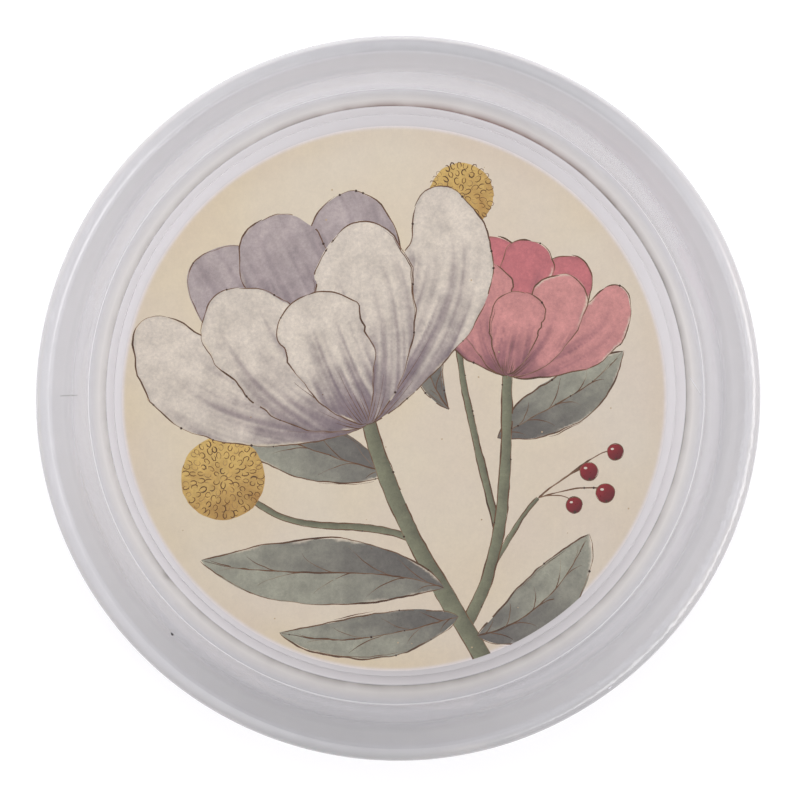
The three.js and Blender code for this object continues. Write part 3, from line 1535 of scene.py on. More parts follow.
    def dots(self, centres: Iterable[Sequence[float]], radius: float, ink: Pigment) -> None:
        """Touches the pen to the paper at each centre.

        Args:
            centres: Where the pen touches.
            radius: The size of a usual dot.
            ink: The ink's colour.
        """
        for centre in centres:
            size = radius * self.rng.uniform(0.6, 1.2)
            turn = np.linspace(0.0, math.tau, 7, endpoint=False) + self.rng.uniform(0.0, 1.0)
            blot = np.stack([np.cos(turn), np.sin(turn)], -1) * size
            self.layer(np.asarray(centre) + blot, self._ink(ink, 0.8))

    @staticmethod
    def _ink(ink: Pigment, press: float) -> Paint:
        """A flat paint that is darker where the nib was pressed and thinner where it was not.

        Args:
            ink: The ink's colour.
            press: How hard the nib was pressed, around 0.7.

        Returns:
            The paint.
        """
        depth = float(np.clip(1.3 * (press - 0.70), 0.0, 1.0))
        thin = float(np.clip(1.6 * (0.62 - press), 0.0, 0.7))
        colour = ink.linear * (1.0 - depth - thin) + Pigment.INK_DARK.linear * depth
        colour = colour + Pigment.INK_THIN.linear * thin
        return lambda at: np.repeat(colour[None, :], len(at), 0)

    def partition(self) -> tuple[Array, Array, Array]:
        """Cuts the round sheet into triangles along every outline and colours their corners.

        Returns:
            The points (x, y), the triangles, and each triangle corner's linear colour and grain.
        """
        points = self.points + self._grid_points()
        cut = delaunay_2d_cdt(points, [], self.faces, 0, 1e-5, True)
        verts = np.array([vert[:] for vert in cut[0]])
        kept = [(face, max(origin)) for face, origin in zip(cut[2], cut[5]) if self.PAPER_LAYER in origin]
        triangles = np.array([face for face, _ in kept])
        top = np.array([layer for _, layer in kept])
        colours = np.empty((len(triangles), 3, 4))
        colours[:, :, 3] = np.array(self.grains)[top][:, None]
        order = np.argsort(top, kind="stable")
        starts = np.flatnonzero(np.r_[True, np.diff(top[order]) > 0])
        for chosen in np.split(order, starts[1:]):
            corners = verts[triangles[chosen].ravel()]
            painted = self.paints[top[chosen[0]]](corners)
            colours[chosen, :, :3] = painted.reshape(len(chosen), 3, 3)
        return verts, triangles, colours

    def _grid_points(self) -> list[Vector]:
        """Points inside the washes, and fewer on the bare paper, each a little off its grid.

        Returns:
            The points.
        """
        scatter = np.random.default_rng(self.rng.randrange(1 << 30))
        found = []
        for outline, step in self.fine_areas:
            low, high = outline.min(0), outline.max(0)
            xs, ys = np.meshgrid(np.arange(low[0], high[0], step), np.arange(low[1], high[1], step))
            grid = np.stack([xs.ravel(), ys.ravel()], -1)
            grid = np.round(grid / step) * step
            found.append(grid[inside(outline, grid)])
        steps = np.arange(-self.radius, self.radius, self.BARE_GRID)
        xs, ys = np.meshgrid(steps, steps)
        found.append(np.stack([xs.ravel(), ys.ravel()], -1))
        every = np.unique(np.round(np.vstack(found), 4), axis=0)
        every = every + scatter.uniform(-self.GRID_SCATTER, self.GRID_SCATTER, every.shape)
        every = every[np.hypot(*every.T) < self.radius - self.BARE_GRID]
        turn = np.linspace(0.0, math.tau, 400, endpoint=False)
        for inward in self.EDGE_RINGS:
            ring = (self.radius - inward) * np.stack([np.cos(turn), np.sin(turn)], -1)
            every = np.vstack([every, ring])
        return [Vector((float(x), float(y))) for x, y in every]


def resampled(line: Array, step: float) -> Array:
    """A polyline with its points about step apart.

    Args:
        line: The polyline's (x, y) rows.
        step: The distance from point to point.

    Returns:
        The new rows.
    """
    lengths = np.r_[0.0, np.cumsum(np.linalg.norm(np.diff(line, axis=0), axis=1))]
    count = max(2, int(round(lengths[-1] / step)) + 1)
    wanted = np.linspace(0.0, lengths[-1], count)
    return np.stack([np.interp(wanted, lengths, line[:, 0]), np.interp(wanted, lengths, line[:, 1])], -1)


def inside(outline: Array, points: Array) -> Array:
    """Whether each point lies inside a closed outline, by counting the edges it passes.

    Args:
        outline: The outline's corners in order.
        points: The (x, y) rows to test.

    Returns:
        One yes or no for each point.
    """
    x, y = points.T
    hit = np.zeros(len(points), bool)
    for (ax, ay), (bx, by) in zip(outline, np.roll(outline, -1, 0)):
        if ay == by:
            continue
        crosses = (ay > y) != (by > y)
        hit ^= crosses & (x < (bx - ax) * (y - ay) / (by - ay) + ax)
    return hit


def distance_to(line: Array, points: Array) -> tuple[Array, Array]:
    """How far each point is from a polyline's nearest point, and which point that is.

    Args:
        line: The polyline's (x, y) rows.
        points: The (x, y) rows to measure from.

    Returns:
        The distance of each point and the row of the line that it is nearest to.
    """
    apart = np.hypot(points[:, None, 0] - line[None, :, 0], points[:, None, 1] - line[None, :, 1])
    nearest = apart.argmin(1)
    return apart[np.arange(len(points)), nearest], nearest


@dataclass(frozen=True)
class Wash:
    """Watercolour that runs from one pigment at a shape's base to another at its tip."""

    base: Pigment
    tip: Pigment
    reach: float = 0.5
    softness: float = 0.30
    streak: float = 0.30
    streaks_across: float = 6.0
    rim: float = 0.16
    clouds: float = 0.10
    shadow_side: float = 0.0


@dataclass
class Blade:
    """A petal or leaf: a curved spine with a width that swells and closes again."""

    spine: Sequence[Sequence[float]]
    half_width: float
    wash: Wash
    swell: float = 0.9
    close: float = 0.5
    ruffle: float = 0.07
    ink_width: float = 0.32
    skips: float = 0.09

    def outline(self, painting: Painting) -> tuple[Array, Array, Array]:
        """The left edge, the right edge and the spine, each from base to tip.

        Args:
            painting: The painting, for its noise and its random numbers.

        Returns:
            The three lines, as (x, y) rows.
        """
        share = 0.5 - 0.5 * np.cos(np.linspace(0.0, math.pi, 46))
        spine = bezier(self.spine, share)
        peak = self.swell / (self.swell + self.close)
        top = peak**self.swell * (1 - peak) ** self.close
        width = self.half_width * share**self.swell * (1 - share) ** self.close / top
        phase = painting.rng.uniform(0.0, 60.0)
        side = normals_of(spine)
        edges = []
        for sign, shift in ((1.0, 0.0), (-1.0, 23.0)):
            slow = painting.edge.layered(share * 5.0 + shift, phase)
            quick = painting.edge.at(share * 19.0 + shift, phase + 11.0)
            wave = 1.0 + self.ruffle * slow + 0.35 * self.ruffle * quick
            edges.append(spine + side * (sign * width * wave)[:, None])
        return edges[0], edges[1], spine

    def paint(self, painting: Painting) -> None:
        """Lays the wash and draws the outline over it.

        Args:
            painting: The painting that it goes on.
        """
        left, right, spine = self.outline(painting)
        shape = np.vstack([left, right[-2:0:-1]])
        painting.wash(shape, self._tint(painting, spine, shape))
        self._outline_ink(painting, left, right)

    def _outline_ink(self, painting: Painting, left: Array, right: Array) -> None:
        """Draws both edges, the pen drifting a little off the wash, and goes over part of one twice.

        Args:
            painting: The painting that it goes on.
            left: The left edge, from base to tip.
            right: The right edge, from base to tip.
        """
        for edge in (left, right):
            phase = painting.rng.uniform(0.0, 60.0)
            drift = 0.26 * painting.edge.at(np.linspace(0.0, 6.0, len(edge)), phase)
            line = edge + normals_of(edge) * drift[:, None]
            painting.draw(Stroke(line, self.ink_width, fade_in=0.05, fade_out=0.04, skips=self.skips))
            if painting.rng.random() < 0.6:
                first = painting.rng.randrange(4, 24)
                again = line[first : first + painting.rng.randrange(8, 18)]
                again = again + normals_of(again) * painting.rng.choice((-0.38, 0.34))
                painting.draw(Stroke(again, 0.7 * self.ink_width, fade_in=0.3, fade_out=0.4, skips=0.1))

    def _tint(self, painting: Painting, spine: Array, shape: Array) -> Paint:
        """The wash's colour at any point of the blade.

        Args:
            painting: The painting, for its noise and its paper.
            spine: The blade's middle line.
            shape: The whole blade's outline.

        Returns:
            The paint.
        """
        wash, noise = self.wash, painting.tone
        phase = painting.rng.uniform(0.0, 60.0)
        side = normals_of(spine)
        border = resampled(np.vstack([shape, shape[:1]]), 0.5)

        def colour(at: Array) -> Array:
            """The wash at each point.

            Args:
                at: The (x, y) points that want a colour.

            Returns:
                One linear colour for each point.
            """
            off, nearest = distance_to(spine, at)
            along = nearest / (len(spine) - 1)
            along = 0.5 - 0.5 * np.cos(along * math.pi)
            across = np.sum((at - spine[nearest]) * side[nearest], 1) / self.half_width
            to_edge, _ = distance_to(border, at)
            brush = noise.layered(across * wash.streaks_across + phase, along * 1.6)
            hair = noise.at(across * 2.6 * wash.streaks_across - phase, along * 3.0)
            cloud = noise.layered(at[:, 0] / 3.2 + phase, at[:, 1] / 3.2)
            level = along + wash.streak * brush + 0.45 * wash.streak * hair + wash.clouds * cloud
            deep = smoothstep(wash.reach + wash.softness, wash.reach - wash.softness, level)
            deep = np.clip(deep + wash.shadow_side * across, 0.0, 1.0)[:, None]
            made = wash.tip.linear * (1 - deep) + wash.base.linear * deep
            pool = 0.6 + 0.8 * noise.at(at[:, 0] / 4.0 - phase, at[:, 1] / 4.0)
            dried = (wash.rim * np.clip(pool, 0.0, 1.6) * np.exp(-((to_edge / 0.5) ** 2)))[:, None]
            skipped = smoothstep(0.30, 0.75, noise.at(at[:, 0] / 5.0, at[:, 1] / 5.0))
            missed = smoothstep(0.45, 0.20, to_edge) * skipped
            tone = 1.0 + 0.12 * cloud[:, None]
            made = made * (1 - dried) * tone
            return made + (painting.ground(at) - made) * (0.8 * missed)[:, None]

        return colour


@dataclass
class Petal(Blade):
    """A petal with fine pen or brush lines that rise from its base."""

    hairs: int = 7

    def paint(self, painting: Painting) -> None:
        """Lays the petal, then draws its fine veins.

        Args:
            painting: The painting that it goes on.
        """
        super().paint(painting)
        _, _, spine = self.outline(painting)
        side = normals_of(spine)
        for hair in range(self.hairs):
            place = (hair + 0.5) / self.hairs * 2.0 - 1.0
            first = painting.rng.uniform(0.04, 0.12)
            last = first + painting.rng.uniform(0.14, 0.34) * (1.0 - 0.4 * abs(place))
            share = np.linspace(first, last, 12)
            index = share * (len(spine) - 1)
            middle = np.stack([np.interp(index, np.arange(len(spine)), spine[:, i]) for i in (0, 1)], -1)
            across = np.stack([np.interp(index, np.arange(len(spine)), side[:, i]) for i in (0, 1)], -1)
            width = 0.62 * self.half_width * place * share**0.55
            painting.draw(Stroke(middle + across * width[:, None], 0.20, fade_out=0.6, wobble=0.05))


@dataclass
class Leaf(Blade):
    """A leaf with a pen-drawn midrib and side veins, one half in shade."""

    veins: int = 5
    swell: float = 0.85
    close: float = 0.85
    dark_half: float = 0.35
    shade_streaks: float = 3.0

    def paint(self, painting: Painting) -> None:
        """Lays the two halves of the leaf, then draws its outline and veins.

        Args:
            painting: The painting that it goes on.
        """
        left, right, spine = self.outline(painting)
        halves = (
            (np.vstack([left, spine[-2:0:-1]]), self.wash),
            (np.vstack([right, spine[-2:0:-1]]), self._shaded()),
        )
        whole = np.vstack([left, right[-2:0:-1]])
        kept = self.wash
        for shape, wash in halves:
            self.wash = wash
            painting.wash(shape, self._tint(painting, spine, whole))
        self.wash = kept
        self._outline_ink(painting, left, right)
        self._veins(painting, left, right, spine)

    def _shaded(self) -> Wash:
        """The wash of the half that lies in shade.

        Returns:
            The darker wash.
        """
        wash = self.wash
        reach = wash.reach + self.dark_half
        return Wash(wash.base, wash.tip, reach, wash.softness, wash.streak, self.shade_streaks, wash.rim)

    def _veins(self, painting: Painting, left: Array, right: Array, spine: Array) -> None:
        """Draws the midrib, and side veins that leave it in turn and stop short of the edge.

        Args:
            painting: The painting that it goes on.
            left: The left edge, from base to tip.
            right: The right edge, from base to tip.
            spine: The midrib.
        """
        painting.draw(Stroke(spine[:-3], 0.32, fade_in=0.02, fade_out=0.3, skips=0.03))
        last = len(spine) - 1
        for vein in range(self.veins):
            for edge, shift in ((left, 0.0), (right, 0.35)):
                start = (vein + 0.8 + shift) / (self.veins + 1.6)
                foot = spine[int(start * last)]
                target = edge[min(last, int((start + 0.16) * last))]
                reach = painting.rng.uniform(0.55, 0.85)
                bend = spine[min(last, int((start + 0.08) * last))]
                tip = foot + (target - foot) * reach
                bows = (foot * 0.5 + bend * 0.5, bend * 0.4 + tip * 0.6)
                curve = bezier([foot, *bows, tip], np.linspace(0.04, 1, 12))
                painting.draw(Stroke(curve, 0.24, fade_out=0.5, skips=0.06))


@dataclass
class Stem:
    """A stalk: a ribbon of wash, darker down one side, with a pen line on each side."""

    route: Sequence[Sequence[float]]
    start_width: float
    end_width: float
    ink_width: float = 0.34

    def paint(self, painting: Painting) -> None:
        """Lays the stalk's wash and draws its two sides.

        Args:
            painting: The painting that it goes on.
        """
        share = np.linspace(0.0, 1.0, 60)
        line = bezier(self.route, share)
        side = normals_of(line)
        half = 0.5 * (self.start_width + (self.end_width - self.start_width) * share)
        half = half * (1.0 + 0.06 * painting.edge.at(share * 9.0, self.start_width))
        left, right = line + side * half[:, None], line - side * half[:, None]
        phase = painting.rng.uniform(0.0, 50.0)

        def colour(at: Array) -> Array:
            """The wash at each point of the stalk.

            Args:
                at: The (x, y) points that want a colour.

            Returns:
                One linear colour for each point.
            """
            _, nearest = distance_to(line, at)
            across = np.sum((at - line[nearest]) * side[nearest], 1) / half[nearest]
            cloud = painting.tone.layered(at[:, 0] / 2.5 + phase, at[:, 1] / 2.5)
            deep = np.clip(0.32 - 0.45 * across + 0.25 * cloud, 0.0, 1.0)[:, None]
            return Pigment.STEM.linear * (1 - deep) + Pigment.STEM_DEEP.linear * deep

        painting.wash(np.vstack([left, right[::-1]]), colour, 0.5)
        for edge in (left, right):
            painting.draw(Stroke(edge, self.ink_width, fade_in=0.02, fade_out=0.06, skips=0.05))


@dataclass
class CupFlower:
    """An open cup of broad petals on a stalk, seen from the side."""

    base: Pair
    lean: float
    height: float
    back: Wash
    front: Wash
    breadth: float = 1.0

    def paint(self, painting: Painting) -> None:
        """Lays the petals from the back of the cup to the front."""
        for petal in self.petals():
            petal.paint(painting)

    def petals(self) -> list[Petal]:
        """The petals in the order that they are painted.

        Returns:
            The petals, the hindmost first.
        """
        rows = (
            (self.back, ((0.30, 0.03, 0.98, 0.21), (-0.34, -0.06, 0.95, 0.21), (0.02, 0.0, 1.0, 0.20))),
            (self.front, ((0.62, 0.40, 0.80, 0.19), (-0.66, -0.42, 0.76, 0.19))),
            (self.front, ((0.26, 0.19, 0.78, 0.20), (-0.27, -0.16, 0.80, 0.21))),
            (self.front, ((-0.02, 0.03, 0.62, 0.19),)),
        )
        return [self._petal(wash, *shares) for wash, row in rows for shares in row]

    def _petal(self, wash: Wash, spread: float, belly: float, reach: float, width: float) -> Petal:
        """One petal, from shares of the cup's height: where its tip is, how it bows, how wide it is.

        Args:
            wash: Its colours.
            spread: How far its tip leans out to the left.
            belly: How far its middle bows out to the left.
            reach: How high its tip is.
            width: Half its width.

        Returns:
            The petal.
        """
        tip = self._place(reach, spread * self.breadth)
        low = self._place(0.22, belly * 1.1 * self.breadth + 0.1 * spread)
        high = self._place(0.72 * reach, (spread + 0.55 * belly) * self.breadth)
        spine = [self.base, low, high, tip]
        return Petal(spine, width * self.height, wash, swell=0.75, close=0.40, ruffle=0.15)

    def _place(self, up: float, left: float) -> Array:
        """A point of the cup, from shares of its height up its axis and to the left of it.

        Args:
            up: The share up the axis.
            left: The share to the left of it.

        Returns:
            The (x, y) point.
        """
        axis = polar(self.lean)
        across = np.array([-axis[1], axis[0]])
        return np.asarray(self.base) + self.height * (up * axis + left * across)


@dataclass
class SeedHead:
    """A round golden head of many tiny florets, each one a loop of the pen."""

    centre: Pair
    radius: float
    spacing: float = 1.55

    def paint(self, painting: Painting) -> None:
        """Lays the golden wash and draws the florets from the middle out.

        Args:
            painting: The painting that it goes on.
        """
        turn = np.linspace(0.0, math.tau, 72, endpoint=False)
        bumps = 1.0 + 0.035 * painting.edge.layered(turn * 4.0, self.radius)
        circle = np.stack([np.cos(turn), np.sin(turn)], -1)
        rim = np.asarray(self.centre) + (self.radius * bumps)[:, None] * circle
        painting.wash(rim, self._gold(painting), 0.5)
        rings = int(self.radius / self.spacing)
        for ring in range(rings + 1):
            distance = ring * self.spacing
            count = max(1, int(math.tau * distance / (0.92 * self.spacing)))
            for step in range(count):
                self._floret(painting, distance, math.tau * (step + 0.5 * (ring % 2)) / count)

    def _gold(self, painting: Painting) -> Paint:
        """Gold, deeper low on the head and in small clouds.

        Args:
            painting: The painting, for its noise.

        Returns:
            The paint.
        """

        def colour(at: Array) -> Array:
            """The gold at each point.

            Args:
                at: The (x, y) points that want a colour.

            Returns:
                One linear colour for each point.
            """
            x, y = ((at - np.asarray(self.centre)) / self.radius).T
            cloud = painting.tone.layered(at[:, 0] / 2.2, at[:, 1] / 2.2)
            deep = np.clip(0.30 - 0.45 * y + 0.2 * x + 0.45 * cloud, 0.0, 1.0)[:, None]
            return Pigment.GOLD.linear * (1 - deep) + Pigment.GOLD_DEEP.linear * deep

        return colour

    def _floret(self, painting: Painting, distance: float, angle: float) -> None:
        """One open loop, longer outwards, with its gap in a place of its own.

        Args:
            painting: The painting that it goes on.
            distance: Its distance from the head's centre.
            angle: Its angle round the centre, in radians.
        """
        rng = painting.rng
        angle += rng.uniform(-0.06, 0.06)
        distance += rng.uniform(-0.15, 0.15)
        outward = np.array([math.cos(angle), math.sin(angle)])
        sideways = np.array([-outward[1], outward[0]])
        start = rng.uniform(0.0, math.tau)
        turn = start + np.linspace(0.0, rng.uniform(4.2, 6.0), 10)
        long_half = 0.46 * self.spacing * rng.uniform(0.8, 1.15)
        short_half = 0.30 * self.spacing * rng.uniform(0.8, 1.15)
        loop = np.cos(turn)[:, None] * outward * long_half + np.sin(turn)[:, None] * sideways * short_half
        centre = np.asarray(self.centre) + distance * outward
        painting.draw(Stroke(centre + loop, 0.24, Pigment.INK_GOLD, 0.1, 0.2, 0.03))


@dataclass
class BerrySprig:
    """Small red berries on thin stalks that leave one point."""

    fork: Pair
    berries: Sequence[Triple]
    sag: float = 1.6

    def paint(self, painting: Painting) -> None:
        """Draws the stalks, then lays each berry with its highlight and its dark eye.

        Args:
            painting: The painting that it goes on.
        """
        start = np.asarray(self.fork)
        sag = np.array([0.0, self.sag])
        for x, y, _ in self.berries:
            tip = np.array([x, y])
            bows = (start * 0.6 + tip * 0.4 + sag, tip + sag * 1.4)
            curve = bezier([start, *bows, tip], np.linspace(0, 1, 20))
            painting.draw(Stroke(curve, 0.42, Pigment.INK, 0.02, 0.05))
        for x, y, radius in self.berries:
            self._berry(painting, np.array([x, y]), radius)

    def _berry(self, painting: Painting, centre: Array, radius: float) -> None:
        """One berry, lit from the upper left.

        Args:
            painting: The painting that it goes on.
            centre: The berry's centre.
            radius: The berry's radius.
        """
        turn = np.linspace(0.0, math.tau, 30, endpoint=False)
        circle = np.stack([np.cos(turn), np.sin(turn)], -1)

        def colour(at: Array) -> Array:
            """The red at each point.

            Args:
                at: The (x, y) points that want a colour.

            Returns:
                One linear colour for each point.
            """
            x, y = ((at - centre) / radius).T
            deep = np.clip(0.45 + 0.4 * x - 0.5 * y, 0.0, 1.0)[:, None]
            return Pigment.BERRY.linear * (1 - deep) + Pigment.BERRY_DEEP.linear * deep

        painting.wash(centre + circle * radius * (1 + 0.05 * np.sin(3 * turn))[:, None], colour, 0.4)
        glint = centre + np.array([-0.35, 0.38]) * radius + circle[::3] * radius * np.array([0.20, 0.13])
        painting.layer(glint, lambda at: np.repeat(Pigment.PETAL_PALE.linear[None, :], len(at), 0))
        painting.draw(Stroke(np.vstack([centre + circle * radius, centre + circle[:2] * radius]), 0.26))
        painting.dots([centre + np.array([0.1, -0.82]) * radius], 0.30, Pigment.INK_DARK)


@dataclass
class BotanicalSpray:
    """The design: a diagonal spray that rises from the lower right to the upper left."""

    radius: float
    seed: int = 21
    main_stalk: Sequence[Pair] = ((22, -60), (9, -38), (0, -26), (-6, -3))
    rose_stalk: Sequence[Pair] = ((15, -46), (23, -32), (23, -14), (23, 6))
    berry_fork: Pair = (29.5, -20.5)
    petal_back: Wash = Wash(Pigment.LILAC_DEEP, Pigment.LILAC, 0.62, 0.45)
    petal_front: Wash = Wash(Pigment.LILAC_DEEP, Pigment.PETAL_PALE, 0.36, 0.34)
    rose_back: Wash = Wash(Pigment.ROSE_DEEP, Pigment.ROSE, 0.40, 0.40)
    rose_front: Wash = Wash(Pigment.ROSE_DEEP, Pigment.ROSE_PALE, 0.30, 0.40)
    leaf: Wash = Wash(Pigment.LEAF_DEEP, Pigment.LEAF_PALE, 0.30, 0.50, 0.12, 2.5, 0.10, 0.12)
    speck_count: int = 26

    def painted(self) -> Painting:
        """Paints every part of the spray, from what lies behind to what lies in front.

        Returns:
            The finished painting.
        """
        painting = Painting(self.radius, self.seed)
        parts = [*self._far_leaves(), *self._stems(), *self._near_leaves(), *self._heads()]
        for part in parts:
            part.paint(painting)
        self._specks(painting)
        return painting

    def _far_leaves(self) -> list[Leaf]:
        """The leaves that the stems pass in front of.

        Returns:
            The leaves.
        """
        return [
            Leaf([(-1, -15), (-14, -12), (-30, -6), (-46, 3)], 6.4, self.leaf),
            Leaf([(21, -8), (30, -2), (39, 0), (47, 10)], 5.4, self.leaf),
            Leaf([(11, -2), (4, 6), (6, 16), (12, 26)], 3.4, self.leaf, veins=3),
        ]

    def _stems(self) -> list[Stem]:
        """The stalks, the thin ones first, each one leaving a thicker one.

        Returns:
            The stalks.
        """
        side_shoot, head_shoot = self._on(self.main_stalk, 0.55), self._on(self.rose_stalk, 0.40)
        twig = self._on(self.rose_stalk, 0.22)
        return [
            Stem([side_shoot, (-8, -23), (-20, -30), (-31, -19)], 1.5, 1.1, 0.28),
            Stem([head_shoot, (16, -6), (10, 12), (13, 37)], 1.5, 1.1, 0.28),
            Stem([twig, (24, -28), (26, -24), self.berry_fork], 1.1, 0.7, 0.26),
            Stem(self.rose_stalk, 2.6, 2.0),
            Stem(self.main_stalk, 3.8, 3.0),
        ]

    def _near_leaves(self) -> list[Leaf]:
        """The leaves in front of the stems.

        Returns:
            The leaves.
        """
        return [
            Leaf([(10, -39), (-6, -33), (-22, -38), (-40, -33)], 6.8, self.leaf),
            Leaf([(17, -49), (28, -47), (35, -39), (40, -28)], 5.8, self.leaf),
            Leaf([(13, -45), (4, -47), (-8, -52), (-24, -48)], 4.6, self.leaf, veins=4),
        ]

    def _heads(self) -> list[SeedHead | CupFlower | BerrySprig]:
        """The flowers, seed heads and berries.

        Returns:
            The heads, from the back of the spray to its front.
        """
        berries = ((40.0, -15.0, 1.9), (43.5, -19.5, 2.0), (37.0, -22.0, 1.7), (45.5, -11.0, 1.7))
        return [
            SeedHead((-35.5, -16.0), 8.6),
            SeedHead((13.5, 42.0), 6.6),
            CupFlower((23.0, 5.0), 79.0, 28.0, self.rose_back, self.rose_front, 0.88),
            CupFlower((-6.0, -5.0), 116.0, 47.0, self.petal_back, self.petal_front, 0.92),
            BerrySprig(self.berry_fork, berries),
        ]

    @staticmethod
    def _on(route: Sequence[Sequence[float]], share: float) -> Array:
        """The point part of the way along a stalk."""
        return bezier(route, np.array([share]))[0]

    def _specks(self, painting: Painting) -> None:
        """Scatters a few brown specks over the sheet, as old paper has.

        Args:
            painting: The painting that it goes on.
        """
        centres = []
        for _ in range(self.speck_count):
            distance = self.radius * math.sqrt(painting.rng.random()) * 0.97
            centres.append(polar(painting.rng.uniform(0.0, 360.0), distance))
        painting.dots(centres, 0.17, Pigment.FOXING)
        painting.dots(centres[::5], 0.12, Pigment.INK)


# --- The two papers ---


@dataclass
class PrintedSheet:
    """The printed disc, its face pressed up against the glass."""

    centre: Pair
    radius: float
    underside: float
    face: float
    contact: float = 0.05
    glass_loss: float = 0.94
    brightest: float = 0.95

    def build(self) -> Object:
        """Makes the sheet as one closed body whose face carries the painting.

        Returns:
            The new object.
        """
        painting = BotanicalSpray(self.radius).painted()
        points, triangles, colours = painting.partition()
        face = self.face + self.contact
        verts = np.column_stack([points + np.asarray(self.centre), np.full(len(points), face)])
        mesh = bpy.data.meshes.new("botanical_print")
        mesh.from_pydata(verts * MM, [], triangles.tolist())
        pigment = mesh.color_attributes.new("pigment", "FLOAT_COLOR", "CORNER")
        lit = colours.reshape(-1, 4)
        lit[:, :3] = np.clip(lit[:, :3] / self.glass_loss, 0.0, self.brightest)
        pigment.data.foreach_set("color", lit.ravel().astype(np.float32))
        self._thicken(mesh)
        return new_object("botanical_print", mesh)

    def dress(self, made: Object) -> Object:
        """Gives the sheet its paper."""
        return dressed(made, PrintedPaper().material(), "printed_paper", "printed_sheet")

    def _thicken(self, mesh: Mesh) -> None:
        """Adds the cut edge and the back of the sheet, in bare paper colour.

        Args:
            mesh: The sheet's face, changed in place.
        """
        shell = bmesh.new()
        shell.from_mesh(mesh)
        loose = [vert for vert in shell.verts if not vert.link_faces]
        bmesh.ops.delete(shell, geom=loose, context="VERTS")
        pigment = shell.loops.layers.float_color["pigment"]
        rim = [edge for edge in shell.edges if edge.is_boundary]
        extruded = bmesh.ops.extrude_edge_only(shell, edges=rim)["geom"]
        for vert in (item for item in extruded if isinstance(item, bmesh.types.BMVert)):
            vert.co.z = self.underside * MM
        lower = [item for item in extruded if isinstance(item, bmesh.types.BMEdge) and item.is_boundary]
        back = bmesh.ops.edgeloop_fill(shell, edges=lower)["faces"]
        sides = [item for item in extruded if isinstance(item, bmesh.types.BMFace)]
        bare = (*Pigment.CREAM.linear, Painting.PAPER_GRAIN)
        for face in (*back, *sides):
            for loop in face.loops:
                loop[pigment] = bare
        bmesh.ops.recalc_face_normals(shell, faces=shell.faces)
        shell.to_mesh(mesh)
        shell.free()
        mesh.update()


@dataclass
class BackingSheet:
    """The plain sheet that closes the back, cut by hand and brushed with varnish."""

    centre: Pair
    radius: float
    underside: float
    face: float
    columns: int = 240
    unevenness: float = 0.10
    varnish_round: float = 0.12
    swells: tuple[int, int] = (3, 14)
    seed: int = 9

    def build(self) -> Object:
        """Makes the disc with a slightly uneven cut edge and a softened lower rim.

        Returns:
            The new object.
        """
        angles = np.linspace(0.0, math.tau, self.columns, endpoint=False)
        cut = HandWave(random.Random(self.seed), *self.swells).at(angles)
        edge = self.radius - self.unevenness * 0.5 * (1.0 + cut)
        soft = self.varnish_round
        rows = [
            (soft * 4.0, self.underside),
            (soft, self.underside),
            (0.0, self.underside + soft),
            (0.0, self.face),
        ]
        centre = np.asarray(self.centre)
        verts: list[Triple] = []
        faces: list[tuple[int, ...]] = []
        for inward, level in rows:
            ring = centre + (edge - inward)[:, None] * np.stack([np.cos(angles), np.sin(angles)], -1)
            verts.extend((float(x), float(y), level) for x, y in ring)
        count = self.columns
        for row in range(len(rows) - 1):
            for column in range(count):
                after = (column + 1) % count
                low, high = row * count, (row + 1) * count
                faces.append((low + column, low + after, high + after, high + column))
        faces.append(tuple(reversed(range(count))))
        faces.append(tuple(range((len(rows) - 1) * count, len(rows) * count)))
        mesh = bpy.data.meshes.new("sealed_backing")
        mesh.from_pydata(np.array(verts) * MM, [], faces)
        mesh.update()
        return new_object("sealed_backing", mesh)

    def dress(self, made: Object) -> Object:
        """Gives the backing its varnished paper."""
        return dressed(made, BackingPaper().material(), "backing_paper", "backing_sheet")


# --- The studio ---


@dataclass(frozen=True)
class SoftBox:
    """A soft lamp that points at the dish."""

    name: str
    place: Triple
    size: Pair
    watts: float
    colour: Triple = (1.0, 1.0, 1.0)
    mirrored: bool = True
    lights_up: bool = True

    def build(self) -> Object:
        """Puts the lamp in the scene. Its place and size are in metres.

        Returns:
            The new object.
        """
        lamp = bpy.data.lights.new(self.name, "AREA")
        lamp.shape = "RECTANGLE"
        lamp.size, lamp.size_y = self.size
        lamp.energy = self.watts
        lamp.color = self.colour
        made = bpy.data.objects.new(self.name, lamp)
        made.location = self.place
        made.rotation_mode = "QUATERNION"
        made.rotation_quaternion = (-Vector(self.place)).to_track_quat("-Z", "Y")
        made.visible_diffuse = self.lights_up
        made.visible_glossy = self.mirrored
        made.visible_transmission = self.mirrored and self.lights_up
        bpy.context.scene.collection.objects.link(made)
        return made


@dataclass(frozen=True)
class SoftWindow:
    """A wide, soft-edged patch of light in the surroundings."""

    direction: Triple
    strength: float
    edge: float = 0.30

    def glow(self, tree: NodeTree, towards: NodeSocket) -> NodeSocket:
        """The light that this window adds in each direction.

        Args:
            tree: The world's node tree.
            towards: The direction from the dish.

        Returns:
            The socket with the added strength.
        """
        facing = tree.nodes.new("ShaderNodeVectorMath")
        facing.operation = "DOT_PRODUCT"
        facing.inputs[1].default_value = Vector(self.direction).normalized()
        tree.links.new(towards, facing.inputs[0])
        made = tree.nodes.new("ShaderNodeMapRange")
        made.interpolation_type = "SMOOTHERSTEP"
        for name, value in zip(RANGE_INPUTS, (self.edge, 1.0, 0.0, self.strength)):
            made.inputs[name].default_value = value
        tree.links.new(facing.outputs["Value"], made.inputs["Value"])
        return made.outputs["Result"]


